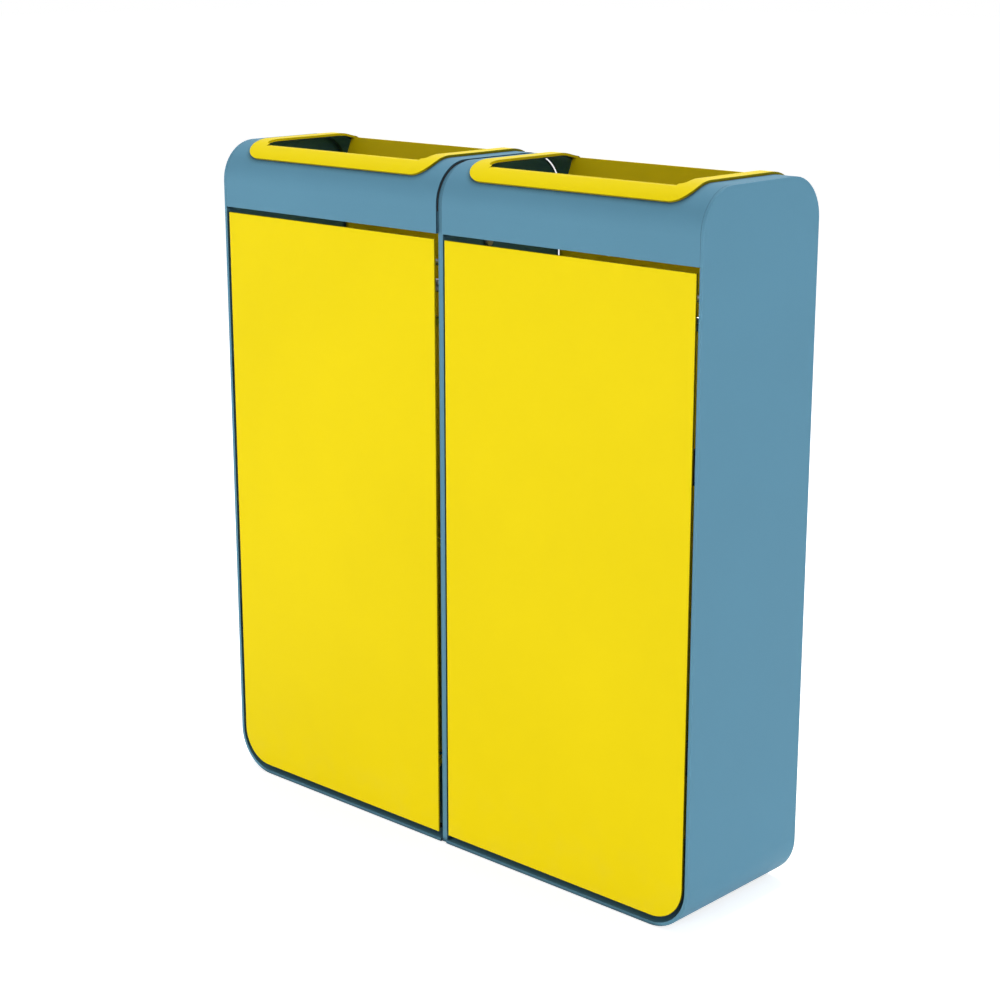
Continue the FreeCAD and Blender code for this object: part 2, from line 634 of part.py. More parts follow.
# ---- fasteners and feet -------------------------------------------------------------
def joining_bolt(y, z):
    """Bolt through both inner plates, its head in the right-hand cabinet."""
    head = hexagon(BOLT_HEAD[0], BOLT_HEAD[1], V(INNER_T, y, z), V(1, 0, 0))
    end = V(-INNER_T - NUT_8[1] - BOLT_TAIL, y, z)
    return fuse([head, rod(V(INNER_T, y, z), end, BOLT_D)])


def joining_nut(y, z):
    """Nut in the left-hand cabinet."""
    foot = V(-INNER_T, y, z)
    end = foot - V(NUT_8[1], 0, 0)
    return hexagon(NUT_8[0], NUT_8[1], foot, V(-1, 0, 0)).cut(rod(foot, end, BOLT_D))


def hood_screws():
    """Countersunk screws up through the hood's lips into the two rails."""
    screws = []
    for x in HOOD_SCREW_X:
        low = V(x, FRONT + HOOD_LIP / 2 + 1, HOOD_LOW)
        shank = rod(low, low + V(0, 0, 2 * SHEET_T + SCREW_END), SCREW_D)
        cone = Part.makeCone(SCREW_D, SCREW_D / 2, SHEET_T, low, V(0, 0, 1))
        screws += front_and_rear(fuse([cone, shank]))
    return screws


def back_screws():
    """Countersunk screws through the back panel into the cleats."""
    screws = []
    for z in BACK_SCREWS:
        point = V(INNER_T + BACK_SCREW_IN, REAR, z)
        cone = Part.makeCone(SCREW_D, SCREW_D / 2, SHEET_T, point, V(0, -1, 0))
        shank = rod(point, point - V(0, 2 * SHEET_T + SCREW_END, 0), SCREW_D)
        screws += on_both_walls(fuse([cone, shank]))
    return screws


def pad_places():
    """Middle of each rubber pad."""
    return [(x, y) for x in PAD_X for y in PAD_Y]


def pad_stem(place):
    """Stem of a rubber pad, through the base plate."""
    return rod(V(place[0], place[1], BASE), V(place[0], place[1], FLOOR), PAD_STEM_D)


def foot_pad(place):
    """Rubber pad pushed into the base plate from below."""
    foot = V(place[0], place[1], 0)
    disc = rod(foot, foot + V(0, 0, BASE), PAD_D)
    head_low = V(place[0], place[1], FLOOR)
    return fuse([disc, pad_stem(place), rod(head_low, head_low + V(0, 0, PAD_HEAD[1]), PAD_HEAD[0])])


# ---- the two cabinets ---------------------------------------------------------------
def cabinet():
    """Every node of the right-hand cabinet, as lists of solids."""
    heights = HINGE_HEIGHTS
    return {
        "outer_shell": [outer_shell()],
        "inner_side_panel": [inner_side_panel()],
        "hood": [hood()],
        "hood_seal": [hood_seal()],
        "chute_bezel": [chute_bezel()],
        "back_panel": [back_panel()],
        "front_rail": [rail(0)],
        "rear_rail": [rail(1)],
        "back_cleats": back_cleats(),
        "door_skin": [door_skin()],
        "door_stiffener": [door_stiffener()],
        "strike_plates": [strike_plate(z) for z in CATCH_HEIGHTS],
        "magnet_catches": [magnet_catch(z) for z in CATCH_HEIGHTS],
        "hinge_brackets": [hinge_bracket(z) for z in heights],
        "hinge_bushes": [hinge_bush(z) for z in heights],
        "hinge_pins": [hinge_pin(z) for z in heights],
        "door_hinge_leaves": [door_leaf(z) for z in heights],
        "hinge_screws": [hinge_screw(z, offset) for z in heights for offset in LEAF_SCREWS],
        "bag_ring": [bag_ring()],
        "ring_brackets": [b for y in RING_BRACKETS for b in on_both_walls(ring_bracket(y))],
        "bag_bail": [bag_bail()],
        "bail_brackets": on_both_walls(bail_bracket()),
        "bail_pins": on_both_walls(bail_pin()),
        "bezel_studs": bezel_studs(),
        "bezel_nuts": bezel_nuts(),
        "hood_screws": hood_screws(),
        "back_screws": back_screws(),
        "foot_pads": [foot_pad(place) for place in pad_places()],
    }


def write(name, solids):
    """Save one node: a single solid, or identical pieces as separate solids."""
    shape = solids[0] if len(solids) == 1 else Part.makeCompound(solids)
    for solid in shape.Solids:
        if not solid.isValid():
            raise ValueError(name + " has a faulty solid")
    if len(shape.Solids) != len(solids):
        raise ValueError(name + " has %d solids, not %d" % (len(shape.Solids), len(solids)))
    shape.exportStep("parts/%s.step" % name)


os.makedirs("parts", exist_ok=True)
for node, pieces in cabinet().items():
    write(node + "_right", pieces)
    write(node + "_left", [piece.mirror(V(0, 0, 0), V(1, 0, 0)) for piece in pieces])
write("joining_bolts", [joining_bolt(y, z) for y, z in BOLTS])
write("joining_nuts", [joining_nut(y, z) for y, z in BOLTS])
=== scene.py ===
"""Looks of a double recycling bin: two slim powder-coated steel cabinets side by side.

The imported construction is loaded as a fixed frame. Plates, hoods, doors and rods keep their shape
and get their finish here. Brackets, rails, fasteners and moulded parts are made again with their
real detail. Lengths are in metres, and most are written as millimetres times MM.
"""

import json
import logging
import math
from dataclasses import dataclass, field
from enum import Enum
from typing import Callable, Iterable, Sequence

import bmesh
import bpy
from mathutils import Matrix, Vector


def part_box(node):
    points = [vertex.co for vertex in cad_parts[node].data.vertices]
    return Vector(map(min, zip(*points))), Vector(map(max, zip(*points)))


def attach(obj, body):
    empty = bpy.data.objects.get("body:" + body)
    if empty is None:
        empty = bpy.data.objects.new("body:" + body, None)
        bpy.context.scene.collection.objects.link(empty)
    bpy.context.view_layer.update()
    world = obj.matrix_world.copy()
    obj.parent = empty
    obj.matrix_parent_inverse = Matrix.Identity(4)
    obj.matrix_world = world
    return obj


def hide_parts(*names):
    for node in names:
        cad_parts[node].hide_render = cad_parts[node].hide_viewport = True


LOG = logging.getLogger("recycling_bin")
MM = 0.001

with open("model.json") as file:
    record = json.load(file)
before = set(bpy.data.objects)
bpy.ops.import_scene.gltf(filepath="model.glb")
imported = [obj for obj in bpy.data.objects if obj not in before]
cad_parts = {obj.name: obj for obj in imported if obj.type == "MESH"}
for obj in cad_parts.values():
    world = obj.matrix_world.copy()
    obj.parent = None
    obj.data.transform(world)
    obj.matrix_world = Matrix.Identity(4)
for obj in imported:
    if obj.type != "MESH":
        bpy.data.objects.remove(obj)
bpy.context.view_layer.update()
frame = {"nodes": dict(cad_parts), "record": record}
NODES = frame["nodes"]

Colour = tuple[float, float, float]
NodeSocket = bpy.types.NodeSocket


# ---------------------------------------------------------------------------------------
# Shader helpers
# ---------------------------------------------------------------------------------------
def srgb(red: int, green: int, blue: int) -> Colour:
    """Turn an 8-bit screen colour into a linear colour.

    Args:
        red, green, blue: channels from 0 to 255.

    Returns:
        The linear colour.
    """
    def channel(value: int) -> float:
        """Return the linear share of one channel."""
        share = value / 255
        return share / 12.92 if share <= 0.04045 else ((share + 0.055) / 1.055) ** 2.4

    return (channel(red), channel(green), channel(blue))


def tinted(colour: Colour, gain: float, lift: float = 0.0) -> Colour:
    """Return a colour scaled by a gain and raised by a lift, no brighter than white."""
    return tuple(min(1.0, channel * gain + lift) for channel in colour)


class Graph:
    """A node tree with short calls to add and join nodes."""

    def __init__(self, tree: bpy.types.NodeTree) -> None:
        """Keep the tree that nodes are added to."""
        self.tree = tree

    def add(self, kind: str, **values: object) -> bpy.types.Node:
        """Add a node.

        Args:
            kind: the node's type.
            values: socket values by name with underscores for spaces, or node properties.

        Returns:
            The new node.
        """
        node = self.tree.nodes.new(kind)
        for name, value in values.items():
            label = name.replace("_", " ")
            socket = next((s for s in node.inputs if s.name == label and s.enabled), None)
            if socket is not None:
                self.feed(socket, value)
            else:
                setattr(node, name, value)
        return node

    def feed(self, socket: NodeSocket, value: object) -> None:
        """Link a socket to an output, or set its value.

        Args:
            socket: the input.
            value: an output, a number, or a colour without its alpha.
        """
        if isinstance(value, bpy.types.NodeSocket):
            self.tree.links.new(value, socket)
        elif hasattr(value, "__len__") and socket.type == "RGBA" and len(value) == 3:
            socket.default_value = (*value, 1.0)
        else:
            socket.default_value = value

    def math(self, operation: str, *values: object, clamp: bool = False) -> NodeSocket:
        """Add a Math node.

        Args:
            operation: what it works out.
            values: its inputs, in order.
            clamp: keep the result between 0 and 1.

        Returns:
            Its output.
        """
        node = self.tree.nodes.new("ShaderNodeMath")
        node.operation = operation
        node.use_clamp = clamp
        for socket, value in zip(node.inputs, values):
            self.feed(socket, value)
        return node.outputs[0]

    def ramp(
        self, value: object, low: float, high: float, to_low: float = 0.0, to_high: float = 1.0
    ) -> NodeSocket:
        """Spread a value from one range to another, clamped.

        Args:
            value: the value.
            low, high: the range that it comes from.
            to_low, to_high: the range that it goes to.

        Returns:
            The spread value.
        """
        node = self.add("ShaderNodeMapRange", From_Min=low, From_Max=high, To_Min=to_low, To_Max=to_high)
        self.feed(node.inputs["Value"], value)
        return node.outputs["Result"]

    def noise(
        self, place: object, scale: float, detail: float = 2.0, roughness: float = 0.5
    ) -> NodeSocket:
        """Add fractal noise and return its value."""
        node = self.add("ShaderNodeTexNoise", Vector=place, Scale=scale, Detail=detail, Roughness=roughness)
        return node.outputs["Fac"]

    def blend(self, share: object, first: object, second: object) -> NodeSocket:
        """Mix two colours.

        Args:
            share: how much of the second colour, from 0 to 1.
            first, second: the colours.

        Returns:
            The mixed colour.
        """
        node = self.tree.nodes.new("ShaderNodeMix")
        node.data_type = "RGBA"
        self.feed(node.inputs[0], share)
        self.feed(node.inputs[6], first)
        self.feed(node.inputs[7], second)
        return node.outputs[2]

    def place(self) -> NodeSocket:
        """Return the object coordinates of the shaded point."""
        return self.tree.nodes.new("ShaderNodeTexCoord").outputs["Object"]


@dataclass(frozen=True)
class Effect:
    """A shader node group that finishes share, with plain numbers for its sockets."""

    name: str
    takes: dict[str, float]
    gives: tuple[str, ...]
    wire: Callable[[Graph, bpy.types.Node], dict[str, NodeSocket]]

    def tree(self) -> bpy.types.NodeTree:
        """Make the group at the first call.

        Returns:
            The group's tree.
        """
        if self.name in bpy.data.node_groups:
            return bpy.data.node_groups[self.name]
        tree = bpy.data.node_groups.new(self.name, "ShaderNodeTree")
        for label, value in self.takes.items():
            socket = tree.interface.new_socket(name=label, in_out="INPUT", socket_type="NodeSocketFloat")
            socket.default_value = value
        for label in self.gives:
            tree.interface.new_socket(name=label, in_out="OUTPUT", socket_type="NodeSocketFloat")
        entry = tree.nodes.new("NodeGroupInput")
        leave = tree.nodes.new("NodeGroupOutput")
        for label, socket in self.wire(Graph(tree), entry).items():
            tree.links.new(socket, leave.inputs[label])
        return tree

    def use(self, graph: Graph, **values: object) -> bpy.types.Node:
        """Put the group in a material.

        Args:
            graph: the material's nodes.
            values: the group's inputs there.

        Returns:
            The group's node.
        """
        node = graph.tree.nodes.new("ShaderNodeGroup")
        node.node_tree = self.tree()
        for name, value in values.items():
            graph.feed(node.inputs[name], value)
        return node


def wire_worn_edges(graph: Graph, entry: bpy.types.Node) -> dict[str, NodeSocket]:
    """Mask that is 1 on convex edges, whole and broken up by noise.

    Args:
        graph: the group's nodes.
        entry: its input node.

    Returns:
        The socket of each output.
    """
    place = graph.place()
    rounded = graph.add("ShaderNodeBevel", samples=4, Radius=entry.outputs["Width"])
    plain = graph.add("ShaderNodeNewGeometry")
    bend = graph.add("ShaderNodeVectorMath", operation="DOT_PRODUCT")
    graph.feed(bend.inputs[0], rounded.outputs["Normal"])
    graph.feed(bend.inputs[1], plain.outputs["Normal"])
    edge = graph.ramp(bend.outputs["Value"], low=0.995, high=0.80)
    chips = graph.noise(place, scale=160.0, detail=4.0, roughness=0.65)
    patches = graph.noise(place, scale=9.0)
    broken = graph.ramp(graph.math("MULTIPLY", chips, patches), low=0.24, high=0.36)
    worn = graph.math("MULTIPLY", edge, broken)
    return {"Mask": graph.math("MULTIPLY", worn, entry.outputs["Amount"], clamp=True), "Edge": edge}


def wire_powder_grain(graph: Graph, entry: bpy.types.Node) -> dict[str, NodeSocket]:
    """Orange peel of a powder coat: a height, and a slow drift of its tone and gloss.

    Args:
        graph: the group's nodes.
        entry: its input node.

    Returns:
        The socket of each output.
    """
    place = graph.place()
    size = entry.outputs["Grain"]
    peel = graph.noise(place, scale=graph.math("DIVIDE", 1.0, size), roughness=0.55)
    fine = graph.noise(place, scale=graph.math("DIVIDE", 3.1, size), detail=1.0)
    height = graph.math("ADD", peel, graph.math("MULTIPLY", fine, 0.35))
    drift = graph.noise(place, scale=3.0, detail=3.0, roughness=0.55)
    return {"Height": height, "Drift": graph.ramp(drift, low=0.3, high=0.7, to_low=-1.0)}


def wire_settled_dust(graph: Graph, entry: bpy.types.Node) -> dict[str, NodeSocket]:
    """Mask of thin dust on faces that look up, and of scuffs near the floor.

    Args:
        graph: the group's nodes.
        entry: its input node.

    Returns:
        The socket of each output.
    """
    place = graph.place()
    normal = graph.add("ShaderNodeNewGeometry").outputs["Normal"]
    up = graph.add("ShaderNodeSeparateXYZ", Vector=normal).outputs["Z"]
    level = graph.add("ShaderNodeSeparateXYZ", Vector=place).outputs["Z"]
    cloud = graph.noise(place, scale=26.0, detail=5.0, roughness=0.6)
    facing = graph.ramp(up, low=0.6, high=1.0)
    top = graph.math("MULTIPLY", facing, graph.ramp(cloud, low=0.35, high=0.8))
    near_floor = graph.ramp(level, low=0.14, high=0.0)
    scuffs = graph.math("MULTIPLY", near_floor, graph.ramp(cloud, low=0.45, high=0.75))
    both = graph.math("MAXIMUM", top, scuffs)
    return {"Mask": graph.math("MULTIPLY", both, entry.outputs["Amount"], clamp=True)}


def wire_painted_crevice_shade(graph: Graph, entry: bpy.types.Node) -> dict[str, NodeSocket]:
    """Mask of painted shade where two pieces meet: high where the AO node finds surfaces close by, broken up
    a little by noise.

    Args:
        graph: the group's nodes.
        entry: its input node.

    Returns:
        The socket of each output.
    """
    # painted shade: ambient occlusion made into a mask that darkens the colour
    open_sky = graph.add("ShaderNodeAmbientOcclusion", samples=6, Distance=entry.outputs["Reach"])
    closed = graph.ramp(open_sky.outputs["AO"], low=0.96, high=0.70)
    cloud = graph.noise(graph.place(), scale=70.0, detail=3.0, roughness=0.6)
    patchy = graph.ramp(cloud, low=0.2, high=0.8, to_low=0.85)
    painted_shade_mask = graph.math("MULTIPLY", closed, patchy)
    return {"Mask": graph.math("MULTIPLY", painted_shade_mask, entry.outputs["Amount"], clamp=True)}


def wire_brushed_lines(graph: Graph, entry: bpy.types.Node) -> dict[str, NodeSocket]:
    """Fine drawn lines along the Z axis of a steel piece.

    Args:
        graph: the group's nodes.
        entry: its input node.

    Returns:
        The socket of each output.
    """
    stretch = graph.add("ShaderNodeMapping", Vector=graph.place(), Scale=(1.0, 1.0, 0.04))
    place = stretch.outputs["Vector"]
    return {"Lines": graph.noise(place, scale=entry.outputs["Density"], detail=3.0, roughness=0.7)}


WORN_EDGES = Effect("Worn edges", {"Width": 0.0012, "Amount": 0.5}, ("Mask", "Edge"), wire_worn_edges)
POWDER_GRAIN = Effect("Powder grain", {"Grain": 0.0016}, ("Height", "Drift"), wire_powder_grain)
SETTLED_DUST = Effect("Settled dust", {"Amount": 0.1}, ("Mask",), wire_settled_dust)
# painted shade: AO-based darkening of crevices and contact lines
PAINTED_CREVICE_SHADE = Effect("Painted crevice shade", {"Reach": 0.008, "Amount": 0.8}, ("Mask",), wire_painted_crevice_shade)
BRUSHED_LINES = Effect("Brushed lines", {"Density": 1800.0}, ("Lines",), wire_brushed_lines)


# ---------------------------------------------------------------------------------------
# Finishes
# ---------------------------------------------------------------------------------------
class Finish:
    """A finish that makes its own material once."""

    name: str
    slot: str

    def material(self) -> bpy.types.Material:
        """Make the finish's material at the first call.

        Returns:
            The material.
        """
        found = bpy.data.materials.get(self.name)
        if found is not None:
            return found
        material = bpy.data.materials.new(self.name)
        material.use_nodes = True
        self.wire(Graph(material.node_tree), material.node_tree.nodes["Principled BSDF"])
        return material

    def wire(self, graph: Graph, shader: bpy.types.Node) -> None:
        """Join the nodes of this finish to its shader."""
        raise NotImplementedError


def bump(graph: Graph, shader: bpy.types.Node, height: object, depth: float, strength: float) -> None:
    """Join a height to the shader's normal."""
    node = graph.add("ShaderNodeBump", Strength=strength, Distance=depth, Height=height)
    graph.feed(shader.inputs["Normal"], node.outputs["Normal"])


@dataclass(frozen=True)
class PowderCoat(Finish):
    """Powder-coated sheet steel."""

    name: str
    slot: str
    colour: Colour
    roughness: float = 0.46
    sheen: float = 0.07
    drift: tuple[float, float] = (0.975, 1.02)
    gloss_drift: float = 0.03
    peel_size: float = 1.8 * MM
    peel_depth: float = 0.09 * MM
    peel_strength: float = 0.6
    wear: float = 0.22
    wear_gloss: float = -0.1
    rubbed: float = 0.10
    dust: float = 0.03
    dust_gloss: float = 0.3
    # painted shade: how strongly, how far and how dark the crevices are darkened
    painted_shade_amount: float = 0.85
    painted_shade_reach: float = 9.0 * MM
    painted_shade_tone: float = 0.12
    primer: Colour = srgb(150, 152, 150)
    dust_colour: Colour = srgb(190, 186, 176)

    def wire(self, graph: Graph, shader: bpy.types.Node) -> None:
        """Colour with a slow drift, worn edges, thin dust, painted shade in crevices and orange peel.

        Args:
            graph: the material's nodes.
            shader: its shader.
        """
        grain = POWDER_GRAIN.use(graph, Grain=self.peel_size)
        wear = WORN_EDGES.use(graph, Amount=self.wear)
        dust = SETTLED_DUST.use(graph, Amount=self.dust)
        # painted shade: AO-based mask of the crevices
        corner = PAINTED_CREVICE_SHADE.use(graph, Amount=self.painted_shade_amount, Reach=self.painted_shade_reach)
        deep, light = (tinted(self.colour, gain) for gain in self.drift)
        coat = graph.blend(graph.ramp(grain.outputs["Drift"], low=-1.0, high=1.0), deep, light)
        edge = graph.math("MULTIPLY", wear.outputs["Edge"], self.rubbed)
        coat = graph.blend(edge, coat, tinted(self.colour, gain=0.75, lift=0.12))
        coat = graph.blend(wear.outputs["Mask"], coat, self.primer)
        coat = graph.blend(dust.outputs["Mask"], coat, self.dust_colour)
        # painted shade: crevices blend towards a near-black copy of the coat colour
        coat = graph.blend(corner.outputs["Mask"], coat, tinted(self.colour, self.painted_shade_tone))
        graph.feed(shader.inputs["Base Color"], coat)
        gloss = graph.math("MULTIPLY_ADD", grain.outputs["Drift"], self.gloss_drift, self.roughness)
        gloss = graph.math("MULTIPLY_ADD", dust.outputs["Mask"], self.dust_gloss, gloss)
        gloss = graph.math("MULTIPLY_ADD", wear.outputs["Mask"], self.wear_gloss, gloss, clamp=True)
        graph.feed(shader.inputs["Roughness"], gloss)
        shader.inputs["Specular IOR Level"].default_value = self.sheen
        bump(graph, shader, grain.outputs["Height"], self.peel_depth, self.peel_strength)


@dataclass(frozen=True)
class ZincPlate(Finish):
    """Bright zinc-plated steel."""

    name: str
    slot: str
    colour: Colour = srgb(196, 199, 202)
    bluish: Colour = srgb(186, 192, 201)
    dull: Colour = srgb(160, 162, 160)
    roughness: float = 0.24
    line_tone: float = 0.25
    line_gloss: float = 0.22
    line_depth: float = 0.02 * MM

    def wire(self, graph: Graph, shader: bpy.types.Node) -> None:
        """Metal with drawn lines and a faint blue haze.

        Args:
            graph: the material's nodes.
            shader: its shader.
        """
        lines = BRUSHED_LINES.use(graph).outputs["Lines"]
        cloud = graph.noise(graph.place(), scale=45.0, detail=3.0, roughness=0.6)
        tint = graph.blend(graph.ramp(cloud, low=0.35, high=0.7), self.colour, self.bluish)
        tint = graph.blend(graph.math("MULTIPLY", lines, self.line_tone), tint, self.dull)
        graph.feed(shader.inputs["Base Color"], tint)
        shader.inputs["Metallic"].default_value = 1.0
        rough = graph.math("MULTIPLY_ADD", lines, self.line_gloss, self.roughness)
        graph.feed(shader.inputs["Roughness"], rough)
        bump(graph, shader, lines, self.line_depth, strength=0.4)


@dataclass(frozen=True)
class Moulding(Finish):
    """Moulded plastic or rubber with a fine spark-eroded grain."""

    name: str
    slot: str
    colour: Colour
    roughness: float = 0.55
    grain: float = 0.7 * MM
    grain_gloss: float = 0.12
    depth: float = 0.03 * MM
    wear: float = 0.6
    rubbed: float = 0.35
    dust: float = 0.1
    dust_colour: Colour = srgb(170, 166, 158)

    def wire(self, graph: Graph, shader: bpy.types.Node) -> None:
        """Speckled grain, rubbed edges and a little dust.

        Args:
            graph: the material's nodes.
            shader: its shader.
        """
        cells = graph.add("ShaderNodeTexVoronoi", Vector=graph.place(), Scale=1.0 / self.grain)
        cells = cells.outputs["Distance"]
        wear = WORN_EDGES.use(graph, Amount=self.wear)
        dust = SETTLED_DUST.use(graph, Amount=self.dust)
        edge = graph.math("MULTIPLY", wear.outputs["Edge"], self.rubbed)
        coat = graph.blend(edge, self.colour, tinted(self.colour, gain=1.5, lift=0.02))
        coat = graph.blend(dust.outputs["Mask"], coat, self.dust_colour)
        graph.feed(shader.inputs["Base Color"], coat)
        rough = graph.math("MULTIPLY_ADD", cells, self.grain_gloss, self.roughness)
        graph.feed(shader.inputs["Roughness"], rough)
        bump(graph, shader, cells, self.depth, strength=0.5)


BLUE = PowderCoat("Blue powder coat", "blue_paint", srgb(95, 145, 170), roughness=0.5)
YELLOW = PowderCoat("Yellow powder coat", "yellow_paint", srgb(243, 219, 9), roughness=0.44)
ZINC = ZincPlate("Zinc plate", "zinc_steel")
BLACK = Moulding("Black moulding", "black_plastic", srgb(34, 34, 36))
NATURAL = Moulding("Natural acetal", "bush_plastic", srgb(226, 224, 214), roughness=0.37, dust=0.03)
RUBBER = Moulding("Pad rubber", "pad_rubber", srgb(30, 30, 31), roughness=0.73, grain=1.1 * MM)

FINISHES: dict[str, Finish] = {
    finish.slot: finish for finish in (BLUE, YELLOW, ZINC, BLACK, NATURAL, RUBBER)
}


def dress_frame() -> None:
    """Give every node of the construction the finish of its slot."""
    for entry in frame["record"]["subparts"]:
        node = NODES[entry["node"]]
        node.data.materials.clear()
        node.data.materials.append(FINISHES[entry["material_slot"]].material())


# ---------------------------------------------------------------------------------------
# Modelling helpers
# ---------------------------------------------------------------------------------------
Box = tuple[Vector, Vector]
Reach = Callable[[float], float]
FULL_TURN = 2 * math.pi
SMOOTH_BELOW = math.radians(32)
RIDGE_HALF = 0.42        # half the width of a thread's ridge, as a share of its pitch
RIDGE_SUNK = 0.2         # how deep its foot sits in the core, as a share of its depth
STEPS_A_TURN = 14
BEAD_SIDES = 10
MERGE = 1e-6
RIGHT_AND_LEFT = (("right", 1), ("left", -1))


def add_object(name: str, data: bpy.types.ID) -> bpy.types.Object:
    """Make an object in the scene, at the origin.

    Args:
        name: its name.
        data: its mesh, camera or lamp.

    Returns:
        The object.
    """
    made = bpy.data.objects.new(name, data)
    bpy.context.scene.collection.objects.link(made)
    return made


def joined_copy(node: str) -> bmesh.types.BMesh:
    """Copy a node of the construction, with its loose triangles joined.

    Args:
        node: the node's name.

    Returns:
        The copy.
    """
    shape = bmesh.new()
    shape.from_mesh(NODES[node].data)
    bmesh.ops.remove_doubles(shape, verts=shape.verts, dist=MERGE)
    return shape


def islands(node: str) -> list[Box]:
    """Measure each separate solid of a node of the construction.

    Args:
        node: the node's name.

    Returns:
        Lowest and highest corner of each solid, in a steady order.
    """
    shape = joined_copy(node)
    waiting = set(shape.verts)
    boxes = []
    while waiting:
        stack = [waiting.pop()]
        found = []
        while stack:
            vert = stack.pop()
            found.append(vert.co.copy())
            for edge in vert.link_edges:
                other = edge.other_vert(vert)
                if other in waiting:
                    waiting.discard(other)
                    stack.append(other)
        low = Vector(min(co[axis] for co in found) for axis in range(3))
        high = Vector(max(co[axis] for co in found) for axis in range(3))
        boxes.append((low, high))
    shape.free()
    return sorted(boxes, key=lambda pair: tuple(round(value, 5) for value in pair[0]))


def middle(pair: Box) -> Vector:
    """Return the centre of a box."""
    return (pair[0] + pair[1]) / 2


def stand(foot: Vector, along: Sequence[float]) -> Matrix:
    """Return the move that puts a part's foot at a point and its +Z along a direction."""
    turn = Vector(along).to_track_quat("Z", "X").to_matrix().to_4x4()
    return Matrix.Translation(foot) @ turn


def round_reach(radius: float) -> Reach:
    """Radius of a circle, whatever the angle."""
    return lambda angle: radius


def hex_reach(across_flats: float, limit: float = 1.0) -> Reach:
    """Radius of a hexagon, cut off by a circle.

    Args:
        across_flats: width of the hexagon.
        limit: radius of the circle.

    Returns:
        The radius at an angle.
    """
    def reach(angle: float) -> float:
        """Return the radius at one angle."""
        sector = FULL_TURN / 6
        from_flat = (angle + sector / 2) % sector - sector / 2
        return min(across_flats / 2 / math.cos(from_flat), limit)

    return reach


